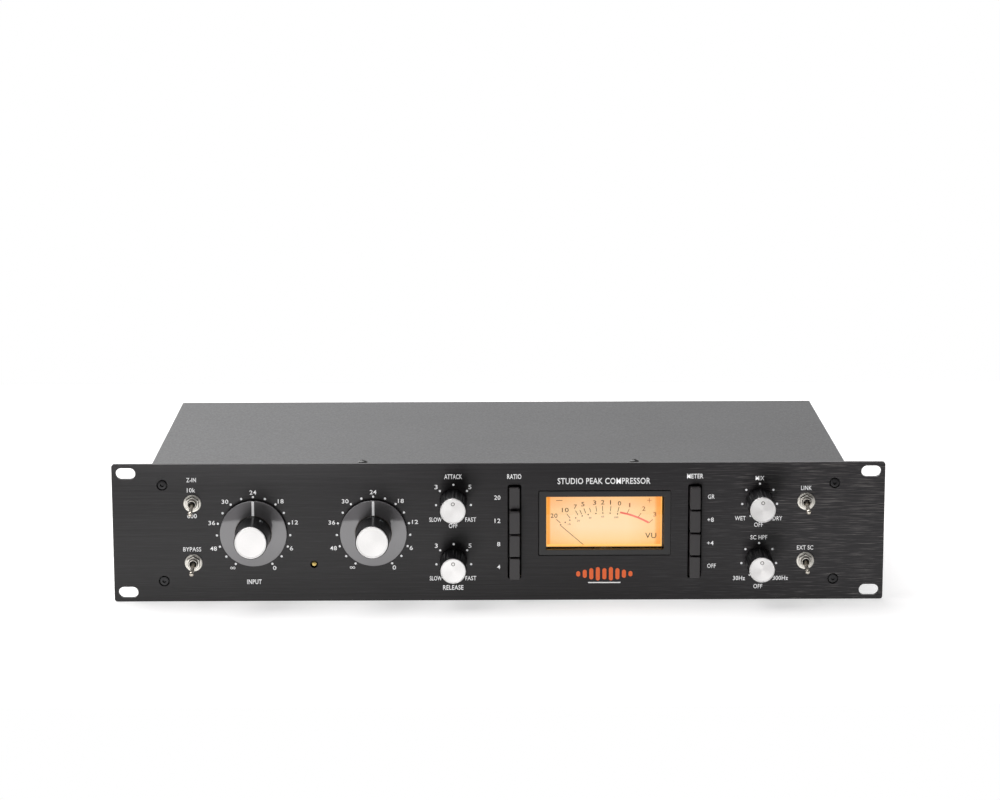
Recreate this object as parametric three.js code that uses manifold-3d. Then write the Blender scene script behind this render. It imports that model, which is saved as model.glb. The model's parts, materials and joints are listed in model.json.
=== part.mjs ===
// A two-unit, 19-inch rack compressor: a folded steel case behind a brushed panel that carries six
// rotary controls, two banks of push buttons, four toggle switches, a trimmer and a moving-coil level
// meter.
//
// Millimetres, +X to the right seen from the front, +Y into the rack, +Z up. The unit is drawn with
// y = 0 on the rear face of its rack ears and z = 0 on the tray's underside, and is moved at the end so
// that the origin is the middle of that underside.
import * as THREE from "three";
import { mergeVertices } from "three/addons/utils/BufferGeometryUtils.js";
import Module from "manifold-3d";

const wasm = await Module();
wasm.setup();

// ---- driving dimensions -------------------------------------------------------------------------

const PANEL = { width: 482.6, height: 88.1, thick: 3.2, corner: 1.8, relief: 0.2 };
const RACK_SLOT = { x: 232.55, z: 38.1, long: 12.3, wide: 7.1 };
const PANEL_SCREW = { x: 209.9, z: 30.8, headR: 3, shankR: 1.5, long: 9, socketFlats: 2 };

const TRAY = { halfWidth: 216.8, rear: 202.8, height: 84.2, wall: 1.2, flange: 14 };
const COVER = { top: 85.5, thick: 1.2, lip: 8, lipFromY: 20 };
const COVER_SCREW = { x: 85, y: 6, headR: 3, headH: 2, shankR: 1.5, long: 6 };

const UNDERSIDE_OVER_PANEL_FOOT = 1.05;
const MID_Z = PANEL.height / 2 - UNDERSIDE_OVER_PANEL_FOOT; // height of the panel's centre line
const FRONT_Y = -PANEL.thick; // the panel's front face
const REAR_Y = -PANEL.relief; // the panel's rear face between the ears

// Shaft axes, as (x, height over the centre line).
const LARGE_KNOBS = { input: [-153.4, 0], output: [-78.4, 0] };
const SMALL_KNOBS = {
  attack: [-28.5, 19.05],
  release: [-28.5, -19.05],
  mix: [162.9, 19.05],
  filter: [162.9, -19.05],
};
const TOGGLES = {
  impedance: [-191.3, 19.05],
  bypass: [-191.3, -19.05],
  link: [192.2, 19.05],
  sidechain: [192.2, -19.05],
};
const TRIMMER = { x: -115.85, z: -20.4, holeR: 2.25, screwR: 1.5 };

// The skirt floats gap in front of the panel; reach is from the panel to the cap's face.
const LARGE_KNOB = {
  skirtR: 21, skirtGap: 1, skirtThick: 2, skirtBoreR: 8.6,
  baseR: 11.2, tipR: 10.3, reach: 26.8, capR: 9.85, capThick: 1.5, rimDrop: 0.6,
  recessR: 8.2, recessDeep: 3, shaftR: 3, shaftTip: 22, bushR: 4.75,
};
const SMALL_KNOB = {
  gap: 0.8, baseR: 8.6, tipR: 8.35, reach: 24, capR: 7.95, capThick: 1.4, rimDrop: 0.5,
  recessR: 6.6, recessDeep: 3, flutes: 18, fluteDeep: 0.45, shaftR: 2.9, bushR: 3.9,
};
const TOGGLE = {
  pivot: 1, tilt: 14.5, tip: 15.5, bushR: 3, bushReach: 4.8, boreR: 2.3, boreRear: 6,
  washerR: 5.7, washerThick: 0.7, nutFlats: 8, nutThick: 2, panelHoleR: 3.2,
  bodyX: 8, bodyZ: 13, bodyRear: 11.5,
};
const BUTTON = {
  wide: 6.5, tall: 13.6, long: 15, corner: 0.6, pitch: 14.7, travel: 4.6, stem: 3, stemLong: 11,
  slotWide: 8.4, slotTall: 60.2,
};
const SWITCH_BANK = { front: 11.6, rear: 36, halfWide: 5.5, halfTall: 30.4, clearance: 0.5 };
// Reach: how far a released button stands in front of the panel. Pressed: the one that is latched in.
const BUTTON_BANKS = {
  ratio: { x: 9.8, reach: 8, names: ["20", "12", "8", "4"], pressed: "20" },
  meter: { x: 122.6, reach: 5.6, names: ["gr", "plus_8", "plus_4", "off"], pressed: null },
};
const METER = {
  x: 66.45, z: 5.55, cutWide: 82.5, cutTall: 41.8, slack: 0.2, bezelDrop: 1,
  windowZ: 5.15, windowWide: 74, windowTall: 33.3,
  halfWide: 42, top: 28, bottom: -33, wall: 1.5, rear: 30,
  pivotZ: -21.7, pointer: 36.4, restAngle: -49,
};
const SOCKETS = { lineIn: -150, lineOut: -112, link: -76, mains: 160 };

const ROUND = 14; // sides of a small hole or pin
const SMOOTH = 30; // sides of a large disc
const DEG = Math.PI / 180;

// ---- materials ----------------------------------------------------------------------------------

function material(color, roughness, metalness, opacity = 1) {
  const transparent = opacity < 1;
  return new THREE.MeshStandardMaterial({ color, roughness, metalness, opacity, transparent });
}
const BLACK_ANODISED = material(0x2c2b2e, 0.42, 0.8);
const POWDER_COAT = material(0x3c3d3f, 0.6, 0.3);
const BLACK_STEEL = material(0x151516, 0.35, 0.7);
const BLACK_PLASTIC = material(0x121214, 0.28, 0);
const KEY_PLASTIC = material(0x383636, 0.55, 0);
const POLISHED_GREY = material(0x8c898c, 0.12, 0.9);
const CLEAR_ACRYLIC = material(0xf2f2f2, 0.08, 0, 0.3);
const SPUN_ALUMINIUM = material(0xe8e6e6, 0.35, 1);
const NICKEL = material(0xc9c4bb, 0.22, 1);
const ZINC = material(0xb8bcc0, 0.4, 1);
const BRASS = material(0xd8bf78, 0.3, 1);
const DIAL = material(0xffdfae, 0.7, 0);
const POINTER = material(0x2a201a, 0.5, 0);
const BOARD = material(0x1c4a32, 0.5, 0);
const COPPER = material(0xb06a3a, 0.45, 0.6);
const LAMINATION = material(0x6d6a68, 0.5, 0.8);

// ---- solids -------------------------------------------------------------------------------------

// A closed three.js geometry as a manifold-3d solid, which can be cut and joined.
function solid(geometry) {
  const flat = geometry.index ? geometry.toNonIndexed() : geometry;
  const bare = new THREE.BufferGeometry().setAttribute("position", flat.getAttribute("position"));
  const merged = mergeVertices(bare, 1e-4);
  const vertProperties = merged.attributes.position.array;
  const triVerts = new Uint32Array(merged.index.array);
  return new wasm.Manifold(new wasm.Mesh({ numProp: 3, vertProperties, triVerts }));
}

function geometryOf(made) {
  const mesh = made.getMesh();
  const position = new THREE.BufferAttribute(new Float32Array(mesh.vertProperties), 3);
  return new THREE.BufferGeometry().setAttribute("position", position)
    .setIndex(new THREE.BufferAttribute(new Uint32Array(mesh.triVerts), 1));
}

const join = (...solids) => solids.reduce((a, b) => a.add(b));
const cut = (body, ...tools) => tools.reduce((a, b) => a.subtract(b), body);

// A box between two corners.
function block([x0, y0, z0], [x1, y1, z1]) {
  const box = new THREE.BoxGeometry(x1 - x0, y1 - y0, z1 - z0);
  return solid(box.translate((x0 + x1) / 2, (y0 + y1) / 2, (z0 + z1) / 2));
}

// A flat shape that faces the front, centred on (x, z) and as deep as from y0 to y1.
function slab(shape, y0, y1, x = 0, z = MID_Z, curveSegments = 3) {
  const options = { depth: y1 - y0, bevelEnabled: false, curveSegments };
  return solid(new THREE.ExtrudeGeometry(shape, options).rotateX(Math.PI / 2).translate(x, y1, z));
}

// A turned piece on the Y axis. The profile lists (radius, y) from the rear of the axis to its front.
function turned(profile, x = 0, z = MID_Z, sides = ROUND) {
  const points = profile.map(([radius, y]) => new THREE.Vector2(radius, y)).reverse();
  return solid(new THREE.LatheGeometry(points, sides).translate(x, 0, z));
}

const rod = (radius, y0, y1, x, z, sides = ROUND) =>
  turned([[0, y1], [radius, y1], [radius, y0], [0, y0]], x, z, sides);

function post(radius, z0, z1, x, y, sides = ROUND) {
  const made = new THREE.CylinderGeometry(radius, radius, z1 - z0, sides).rotateX(Math.PI / 2);
  return solid(made.translate(x, y, (z0 + z1) / 2));
}

// A turned piece on the Z axis. The profile lists (radius, height over z) from the bottom to the top.
function standing(profile, x, y, z, sides = ROUND) {
  const points = profile.map(([radius, height]) => new THREE.Vector2(radius, height));
  return solid(new THREE.LatheGeometry(points, sides).rotateX(Math.PI / 2).translate(x, y, z));
}

function roundedRect(wide, tall, radius) {
  const [x, y] = [wide / 2 - radius, tall / 2 - radius];
  const shape = new THREE.Shape();
  shape.absarc(x, y, radius, 0, Math.PI / 2);
  shape.absarc(-x, y, radius, Math.PI / 2, Math.PI);
  shape.absarc(-x, -y, radius, Math.PI, 1.5 * Math.PI);
  shape.absarc(x, -y, radius, 1.5 * Math.PI, 2 * Math.PI);
  shape.closePath();
  return shape;
}

// A hexagon, given the distance across its flats.
function hexagon(flats) {
  const radius = flats / 2 / Math.cos(Math.PI / 6);
  const angles = [30, 90, 150, 210, 270, 330].map((angle) => angle * DEG);
  const points = angles.map((a) => new THREE.Vector2(radius * Math.cos(a), radius * Math.sin(a)));
  return new THREE.Shape(points);
}

// A round bar with shallow grooves along it, baseR at its rear and narrowed evenly to tipR at its
// front. Each groove has one point at its bottom and each land between two grooves has two.
function flutedBar({ baseR, tipR, flutes, fluteDeep }, y0, y1, x, z) {
  const points = Array.from({ length: 3 * flutes }, (_, i) => {
    const radius = i % 3 === 0 ? baseR - fluteDeep : baseR;
    const angle = (2 * Math.PI * (Math.floor(i / 3) + [0, 0.3, 0.7][i % 3])) / flutes;
    return new THREE.Vector2(radius * Math.sin(angle), radius * Math.cos(angle));
  });
  const options = { depth: y1 - y0, bevelEnabled: false };
  const bar = new THREE.ExtrudeGeometry(new THREE.Shape(points), options);
  bar.rotateX(Math.PI / 2).translate(0, y1, 0);
  const at = bar.getAttribute("position");
  for (let i = 0; i < at.count; i++) {
    const narrowing = at.getY(i) < (y0 + y1) / 2 ? tipR / baseR : 1;
    at.setXYZ(i, at.getX(i) * narrowing, at.getY(i), at.getZ(i) * narrowing);
  }
  return solid(bar.translate(x, 0, z));
}

const inFront = (distance) => FRONT_Y - distance; // y of a plane this far in front of the panel

const unit = new THREE.Group();

function add(name, made, finish, parent = unit) {
  const mesh = new THREE.Mesh(geometryOf(made), finish);
  mesh.name = name;
  parent.add(mesh);
}

// ---- front panel --------------------------------------------------------------------------------

function rackSlots() {
  const slots = [];
  for (const x of [-RACK_SLOT.x, RACK_SLOT.x]) {
    for (const z of [-RACK_SLOT.z, RACK_SLOT.z]) {
      const shape = roundedRect(RACK_SLOT.long, RACK_SLOT.wide, RACK_SLOT.wide / 2 - 0.001);
      slots.push(slab(shape, FRONT_Y - 1, 1, x, MID_Z + z));
    }
  }
  return slots;
}

// Countersunk seats, deep enough for a head that ends flush with the panel.
function screwSeats() {
  const { headR, shankR } = PANEL_SCREW;
  const profile = [[0, 1], [shankR + 0.2, 1], [shankR + 0.2, FRONT_Y + headR - shankR + 0.1],
    [headR + 0.2, FRONT_Y], [headR + 0.2, FRONT_Y - 1], [0, FRONT_Y - 1]];
  return corners(PANEL_SCREW.x, PANEL_SCREW.z).map(([, x, z]) => turned(profile, x, MID_Z + z, 12));
}

function corners(x, z) {
  return [["top_left", -x, z], ["top_right", x, z], ["bottom_left", -x, -z], ["bottom_right", x, -z]];
}

function frontPanel() {
  const plate = slab(roundedRect(PANEL.width, PANEL.height, PANEL.corner), FRONT_Y, 0);
  const inner = TRAY.halfWidth + 0.4;
  const relief = block([-inner, REAR_Y, -10], [inner, 1, 100]);
  const hole = ([x, z], radius) => rod(radius, FRONT_Y - 1, 1, x, MID_Z + z);
  return cut(plate, relief, ...rackSlots(), ...screwSeats(),
    ...Object.values(LARGE_KNOBS).map((at) => hole(at, LARGE_KNOB.bushR + 0.25)),
    ...Object.values(SMALL_KNOBS).map((at) => hole(at, SMALL_KNOB.bushR + 0.25)),
    ...Object.values(TOGGLES).map((at) => hole(at, TOGGLE.panelHoleR)),
    hole([TRIMMER.x, TRIMMER.z], TRIMMER.holeR),
    ...Object.values(BUTTON_BANKS).map((bank) =>
      slab(roundedRect(BUTTON.slotWide, BUTTON.slotTall, 1.2), FRONT_Y - 1, 1, bank.x)),
    slab(roundedRect(METER.cutWide, METER.cutTall, 1), FRONT_Y - 1, 1, METER.x, MID_Z + METER.z));
}

// A countersunk socket screw, its head just below the panel's face.
function panelScrew(x, z) {
  const { headR, shankR, long, socketFlats } = PANEL_SCREW;
  const face = FRONT_Y + 0.1;
  const body = turned([[0, face + long], [shankR, face + long], [shankR, face + headR - shankR],
    [headR, face], [0, face]], x, z, 12);
  return cut(body, slab(hexagon(socketFlats), face - 1, face + 1.2, x, z));
}

// ---- rotary controls ----------------------------------------------------------------------------

// A grip with a pocket for its cap in the front and a recess over the fixing nut in the rear.
function hollowed(body, k, rear, x, z) {
  const pocket = rod(k.capR + 0.1, inFront(k.reach), inFront(k.reach - k.capThick - 0.1), x, z, SMOOTH);
  return cut(body, pocket, rod(k.recessR, rear - k.recessDeep, rear + 1, x, z));
}

function smoothGrip(k, rear, x, z) {
  const rim = inFront(k.reach - k.rimDrop);
  const profile = [[0, rear], [k.baseR, rear], [k.tipR, rim + 0.7], [k.tipR - 0.3, rim], [0, rim]];
  return hollowed(turned(profile, x, z, SMOOTH), k, rear, x, z);
}

function flutedGrip(k, rear, x, z) {
  return hollowed(flutedBar(k, inFront(k.reach - k.rimDrop), rear, x, z), k, rear, x, z);
}

// The bright disc set into the end of a grip, with its edge eased.
function cap(k, x, z) {
  const rear = inFront(k.reach - k.capThick);
  const face = inFront(k.reach);
  const profile = [[0, rear], [k.capR, rear], [k.capR, face + 0.4], [k.capR - 0.4, face], [0, face]];
  return turned(profile, x, z, SMOOTH);
}

function largeKnob(name, [x, height]) {
  const k = LARGE_KNOB;
  const z = MID_Z + height;
  const skirtRear = inFront(k.skirtGap);
  const skirtFace = inFront(k.skirtGap + k.skirtThick);
  const skirt = turned([[k.skirtBoreR, skirtRear], [k.skirtR, skirtRear], [k.skirtR, skirtFace + 0.5],
    [k.skirtR - 0.5, skirtFace], [k.skirtBoreR, skirtFace], [k.skirtBoreR, skirtRear]], x, z, SMOOTH);
  const bore = rod(k.shaftR + 0.1, inFront(k.shaftTip + 0.3), inFront(0), x, z);
  add(name + "_knob_skirt", skirt, POLISHED_GREY);
  add(name + "_knob_grip", cut(smoothGrip(k, skirtFace - 0.1, x, z), bore), BLACK_PLASTIC);
  add(name + "_knob_cap", cap(k, x, z), SPUN_ALUMINIUM);
  add(name + "_shaft", rod(k.shaftR, inFront(k.shaftTip), 12, x, z), ZINC);
}

// The grip carries its own splined shaft, which runs in the control behind the panel.
function smallKnob(name, [x, height]) {
  const k = SMALL_KNOB;
  const z = MID_Z + height;
  const shaft = rod(k.shaftR, inFront(k.reach - k.capThick - 1), 10, x, z);
  add(name + "_knob_grip", join(flutedGrip(k, inFront(k.gap), x, z), shaft), BLACK_PLASTIC);
  add(name + "_knob_cap", cap(k, x, z), SPUN_ALUMINIUM);
}

// A control's can, threaded bush and nut, bored for the shaft.
function control([x, height], canR, bushR, shaftR, nutFlats) {
  const z = MID_Z + height;
  const body = join(rod(canR, 3, 15.2, x, z, 20), rod(bushR, inFront(2.4), 3.5, x, z),
    slab(hexagon(nutFlats), inFront(2.1), inFront(0.1), x, z));
  return cut(body, rod(shaftR + 0.25, inFront(3), 13, x, z));
}

const largeControl = (at) => control(at, 12, LARGE_KNOB.bushR, LARGE_KNOB.shaftR, 12);
const smallControl = (at) => control(at, 8.5, SMALL_KNOB.bushR, SMALL_KNOB.shaftR, 10);
const controlBoard = (x0, x1, halfZ) => block([x0, 15, MID_Z - halfZ], [x1, 16.6, MID_Z + halfZ]);

// The left board carries both large controls and the trimmer.
function leftControlBoard() {
  const { x, z, screwR } = TRIMMER;
  const housing = block([x - 4.8, 5, MID_Z + z - 4.8], [x + 4.8, 15.2, MID_Z + z + 4.8]);
  const trimmer = cut(housing, rod(screwR + 0.3, 4, 12, x, MID_Z + z));
  return join(controlBoard(-174, -58, 34), largeControl(LARGE_KNOBS.input),
    largeControl(LARGE_KNOBS.output), trimmer);
}

function pairBoard(upper, lower) {
  return join(controlBoard(upper[0] - 14, upper[0] + 14, 35), smallControl(upper), smallControl(lower));
}

function trimScrew() {
  const { x, z, screwR } = TRIMMER;
  const face = FRONT_Y + 1.4;
  const slot = block([x - 2, face - 1, MID_Z + z - 0.25], [x + 2, face + 0.7, MID_Z + z + 0.25]);
  return cut(rod(screwR, face, 11, x, MID_Z + z), slot);
}

// ---- toggle switches ----------------------------------------------------------------------------

function toggleSwitch([x, height]) {
  const t = TOGGLE;
  const z = MID_Z + height;
  const washer = inFront(0.05 + t.washerThick);
  const body = block([x - t.bodyX / 2, 1, z - t.bodyZ / 2], [x + t.bodyX / 2, t.bodyRear, z + t.bodyZ / 2]);
  const bush = rod(t.bushR, inFront(t.bushReach), 1.5, x, z);
  const ring = rod(t.washerR, washer, inFront(0.05), x, z, 20);
  const nut = slab(hexagon(t.nutFlats), washer - t.nutThick, washer + 0.1, x, z);
  const tags = [z - 4.5, z, z + 4.5].map((tagZ) =>
    block([x - 1, t.bodyRear - 0.5, tagZ - 0.4], [x + 1, t.bodyRear + 4, tagZ + 0.4]));
  const bore = rod(t.boreR, inFront(t.bushReach + 1), t.boreRear, x, z);
  return cut(join(body, bush, ring, nut, ...tags), bore);
}

// A bat lever on a ball, drawn along its own axis and then tipped down about the ball.
function toggleLever(name, [x, height]) {
  const ball = 1.8;
  const arc = [50, 0, -50].map((a) => [ball * Math.cos(a * DEG), ball * Math.sin(a * DEG)]);
  const tipR = 1.5;
  const tipArc = [0, 30, 60].map((a) =>
    [tipR * Math.cos(a * DEG), tipR - TOGGLE.tip - tipR * Math.sin(a * DEG)]);
  const profile = [[0, 4.6], [0.85, 4.6], ...arc, [0.95, -3], [1.25, -11.5], ...tipArc, [0, -TOGGLE.tip]];
  const hinge = new THREE.Group();
  hinge.position.set(x, inFront(TOGGLE.pivot), MID_Z + height);
  hinge.rotation.x = TOGGLE.tilt * DEG;
  unit.add(hinge);
  add(name + "_lever", turned(profile, 0, 0, 12), NICKEL, hinge);
}

// ---- push buttons -------------------------------------------------------------------------------

const buttonZ = (row) => MID_Z + BUTTON.pitch * (1.5 - row);

// A cap and the stem that works its switch. Face is the y of the cap's front.
function pushButton(x, z, face) {
  const rear = face + BUTTON.long;
  const half = BUTTON.stem / 2;
  return join(slab(roundedRect(BUTTON.wide, BUTTON.tall, BUTTON.corner), face, rear, x, z, 1),
    block([x - half, rear - 0.5, z - half], [x + half, rear + BUTTON.stemLong, z + half]));
}

// Four latching switches side by side, each bored for one button's stem, soldered to one strip of board that
// is screwed to pillars behind the panel.
function switchBank(x) {
  const { front, rear, halfWide, halfTall, clearance } = SWITCH_BANK;
  const housing = block([x - halfWide, front, MID_Z - halfTall], [x + halfWide, rear, MID_Z + halfTall]);
  const strip = block([x - halfWide, rear - 0.5, MID_Z - 38], [x + halfWide, rear + 1.1, MID_Z + 38]);
  const pillars = [-35, 35].map((z) => rod(2.5, 0, rear, x, MID_Z + z, 8));
  const half = BUTTON.stem / 2 + clearance;
  const bores = [0, 1, 2, 3].map((row) =>
    block([x - half, front - 1, buttonZ(row) - half], [x + half, 25, buttonZ(row) + half]));
  return cut(join(housing, strip, ...pillars), ...bores);
}

// ---- level meter --------------------------------------------------------------------------------

function meterCase() {
  const m = METER;
  const face = FRONT_Y + m.bezelDrop;
  const bezel = slab(roundedRect(m.cutWide - 2 * m.slack, m.cutTall - 2 * m.slack, 0.8), face, 0.4,
    m.x, MID_Z + m.z);
  const shell = block([m.x - m.halfWide, 0.1, MID_Z + m.bottom], [m.x + m.halfWide, m.rear, MID_Z + m.top]);
  const inside = block([m.x - m.halfWide + m.wall, m.wall, MID_Z + m.bottom + m.wall],
    [m.x + m.halfWide - m.wall, m.rear - m.wall, MID_Z + m.top - m.wall]);
  const opening = slab(roundedRect(m.windowWide, m.windowTall, 0.6), face - 1, m.wall + 0.1,
    m.x, MID_Z + m.windowZ);
  return cut(join(bezel, shell), inside, opening);
}

function meterWindow() {
  const shape = roundedRect(METER.windowWide + 3, METER.windowTall + 2.4, 0.6);
  return slab(shape, 1.6, 3, METER.x, MID_Z + METER.windowZ, 1);
}

const meterScale = () => block([METER.x - 39, 5.6, MID_Z - 16], [METER.x + 39, 6.4, MID_Z + 25]);

function meterMovement() {
  const z = MID_Z + METER.pivotZ;
  const magnet = block([METER.x - 12, 9, z - 4], [METER.x + 12, 20, z + 4]);
  return cut(join(rod(7.6, 7, 22, METER.x, z, 20), magnet), rod(1.2, 6, 13, METER.x, z));
}

// The pointer, its hub and spindle, and the short counterweight arm.
function meterPointer() {
  const hub = join(rod(2.2, 3.9, 5, 0, 0), rod(0.7, 4.8, 11, 0, 0, 12));
  const arm = block([-0.25, 4.2, -6], [0.25, 4.6, METER.pointer]);
  const weight = block([-0.9, 4, -6.5], [0.9, 4.8, -4]);
  const hinge = new THREE.Group();
  hinge.position.set(METER.x, 0, MID_Z + METER.pivotZ);
  hinge.rotation.y = METER.restAngle * DEG;
  unit.add(hinge);
  add("meter_pointer", join(hub, arm, weight), POINTER, hinge);
}

// ---- case ---------------------------------------------------------------------------------------

// One folded sheet: floor, two sides, a back, two front flanges and the rail that the cover screws into.
function chassisTray() {
  const { halfWidth: w, rear, height, wall, flange } = TRAY;
  const front = REAR_Y + 0.1;
  const flangeRear = front + wall;
  const rail = [height - 1.3 - wall, height - 1.3];
  const sheet = join(
    block([-w, front, 0], [w, rear, wall]),
    block([-w, front, 0], [-w + wall, rear, height]),
    block([w - wall, front, 0], [w, rear, height]),
    block([-w, rear - wall, 0], [w, rear, height]),
    block([-w, front, 0], [-w + flange, flangeRear, height]),
    block([w - flange, front, 0], [w, flangeRear, height]),
    block([-w + 0.5, front, rail[0]], [w - 0.5, 14, rail[1]]));
  const screwHoles = corners(PANEL_SCREW.x, PANEL_SCREW.z).map(([, x, z]) =>
    rod(PANEL_SCREW.shankR + 0.2, -1, 3, x, MID_Z + z, 12));
  const railHoles = [-COVER_SCREW.x, COVER_SCREW.x].map((x) =>
    post(COVER_SCREW.shankR + 0.2, rail[0] - 1, rail[1] + 1, x, COVER_SCREW.y));
  const round = (x, radius) => rod(radius, rear - 3, rear + 1, x, MID_Z, 20);
  const inletHole = slab(roundedRect(28.4, 21, 2), rear - 3, rear + 1, SOCKETS.mains);
  return cut(sheet, ...screwHoles, ...railHoles, round(SOCKETS.lineIn, 12.1),
    round(SOCKETS.lineOut, 12.1), round(SOCKETS.link, 4.9), inletHole);
}

function topCover() {
  const { halfWidth: w, rear, wall } = TRAY;
  const { top, thick, lip, lipFromY } = COVER;
  const under = top - thick;
  const inside = w - wall - 0.4;
  const sheet = join(
    block([-w, REAR_Y + 0.3, under], [w, rear, top]),
    block([-inside, lipFromY, under - lip], [-inside + wall, rear - 4, under + 0.1]),
    block([inside - wall, lipFromY, under - lip], [inside, rear - 4, under + 0.1]),
    block([-inside, rear - 2 * wall - 0.4, under - lip], [inside, rear - wall - 0.4, under + 0.1]));
  return cut(sheet, ...[-COVER_SCREW.x, COVER_SCREW.x].map((x) =>
    post(COVER_SCREW.shankR + 0.2, under - 1, top + 1, x, COVER_SCREW.y)));
}

function coverScrew(x) {
  const { y, headR, headH, shankR, long } = COVER_SCREW;
  const seat = COVER.top + 0.05;
  const body = standing([[0, -long], [shankR, -long], [shankR, 0], [headR, 0], [headR, headH * 0.6],
    [headR * 0.7, headH], [0, headH]], x, y, seat);
  const arm = (wide, deep) =>
    block([x - wide, y - deep, seat + headH - 1], [x + wide, y + deep, seat + headH + 1]);
  return cut(body, arm(1.7, 0.35), arm(0.35, 1.7));
}

// ---- inside -------------------------------------------------------------------------------------

// The main board on its pillars, with the parts soldered to it.
function mainBoard() {
  const [x0, x1, y0, y1, top] = [-150, 95, 48, 165, 10.6];
  const pillars = [x0 + 6, (x0 + x1) / 2, x1 - 6].flatMap((x) =>
    [y0 + 6, y1 - 6].map((y) => post(3, TRAY.wall + 0.05, 9.2, x, y, 8)));
  const capacitors = [[-130, 9, 30], [-108, 9, 30], [-86, 6.3, 22], [70, 9, 34], [48, 9, 34], [28, 6.3, 22]]
    .map(([x, radius, tall]) => post(radius, top - 0.2, top + tall, x, y1 - 14, 12));
  const relays = [-120, -98, -76].map((x) => block([x, 62, top - 0.2], [x + 15, 72, top + 12]));
  const amplifiers = [-50, -32, -14, 4].map((x) => block([x, 96, top - 0.2], [x + 10, 103, top + 4]));
  const heatSink = block([28, 70, top - 0.2], [74, 82, top + 25]);
  const board = block([x0, y0, 9], [x1, y1, top]);
  return join(board, ...pillars, ...capacitors, ...relays, ...amplifiers, heatSink);
}

// A potted ring core under a dished washer and its bolt.
function powerTransformer() {
  const profile = [[0, 0], [37, 0], [39, 4], [39, 32], [36, 36], [27, 37], [26, 39], [6, 39],
    [6, 44], [0, 44]];
  return standing(profile, 148, 108, TRAY.wall + 0.1, 24);
}

// A laminated core with its winding and the strap that holds it down.
function audioTransformer(y) {
  const x = -184;
  return join(block([x - 21, y - 9, 3], [x + 21, y + 9, 38]),
    block([x - 12, y - 17, 8], [x + 12, y + 17, 33]),
    block([x - 22, y - 10, 1.3], [x + 22, y + 10, 4]),
    block([x - 28, y - 7, 1.3], [x + 28, y + 7, 2.5]));
}

// ---- rear sockets -------------------------------------------------------------------------------

const FLANGE_Y = TRAY.rear + 0.1;
const FLANGE_FACE = FLANGE_Y + 2;

// Three thin rods on a four-millimetre circle round a socket's axis.
function poles(x, radius, y0, y1) {
  return [90, 210, 330].map((angle) =>
    rod(radius, y0, y1, x + 4 * Math.cos(angle * DEG), MID_Z - 4 * Math.sin(angle * DEG), 8));
}

function roundSocketShell(x) {
  return join(slab(roundedRect(26, 31, 2.5), FLANGE_Y, FLANGE_FACE, x),
    rod(11.8, FLANGE_Y - 24, FLANGE_Y + 1, x, MID_Z, 20));
}

// A three-pole female socket: a ring groove for the plug's shell round a core with three holes.
function lineInputSocket() {
  const x = SOCKETS.lineIn;
  const well = rod(9.6, FLANGE_FACE - 14, FLANGE_FACE + 1, x, MID_Z, 20);
  const core = rod(7.2, FLANGE_FACE - 15, FLANGE_FACE, x, MID_Z, 20);
  const contacts = poles(x, 1.5, FLANGE_FACE - 12, FLANGE_FACE + 1);
  return cut(join(cut(roundSocketShell(x), well), core), ...contacts);
}

// A three-pole male socket: an open well with three pins.
function lineOutputSocket() {
  const x = SOCKETS.lineOut;
  const well = rod(9.4, FLANGE_FACE - 16, FLANGE_FACE + 1, x, MID_Z, 20);
  return join(cut(roundSocketShell(x), well), ...poles(x, 1.2, FLANGE_FACE - 17, FLANGE_FACE - 2));
}

function linkJack() {
  const x = SOCKETS.link;
  const body = block([x - 9, TRAY.rear - 30, MID_Z - 9], [x + 9, TRAY.rear - TRAY.wall - 0.2, MID_Z + 9]);
  const bush = rod(4.7, TRAY.rear - 3, FLANGE_Y + 4, x, MID_Z);
  const nut = slab(hexagon(12.5), FLANGE_Y, FLANGE_Y + 2.4, x);
  return cut(join(body, bush, nut), rod(3.2, TRAY.rear - 27, FLANGE_Y + 6, x, MID_Z));
}

function powerInlet() {
  const x = SOCKETS.mains;
  const body = join(slab(roundedRect(50, 24, 5), FLANGE_Y, FLANGE_Y + 2.5, x),
    slab(roundedRect(27.8, 20.4, 2), FLANGE_Y - 22, FLANGE_Y + 1, x));
  const well = slab(roundedRect(24.4, 16.4, 3), FLANGE_Y - 15, FLANGE_Y + 4, x);
  const blades = [[x - 7, MID_Z - 1.5], [x, MID_Z + 2.5], [x + 7, MID_Z - 1.5]].map(([bladeX, z]) =>
    block([bladeX - 1, FLANGE_Y - 16, z - 2], [bladeX + 1, FLANGE_Y, z + 2]));
  const screwHoles = [x - 20, x + 20].map((holeX) =>
    rod(1.7, FLANGE_Y - 1, FLANGE_Y + 4, holeX, MID_Z, 12));
  return cut(join(cut(body, well), ...blades), ...screwHoles);
}

// ---- the whole unit -----------------------------------------------------------------------------

add("front_panel", frontPanel(), BLACK_ANODISED);
for (const [place, x, z] of corners(PANEL_SCREW.x, PANEL_SCREW.z)) {
  add("panel_screw_" + place, panelScrew(x, MID_Z + z), BLACK_STEEL);
}
for (const [name, at] of Object.entries(LARGE_KNOBS)) {
  largeKnob(name, at);
}
for (const [name, at] of Object.entries(SMALL_KNOBS)) {
  smallKnob(name, at);
}
add("level_control_board", leftControlBoard(), BOARD);
add("timing_control_board", pairBoard(SMALL_KNOBS.attack, SMALL_KNOBS.release), BOARD);
add("blend_control_board", pairBoard(SMALL_KNOBS.mix, SMALL_KNOBS.filter), BOARD);
add("trim_screw", trimScrew(), BRASS);

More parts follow.
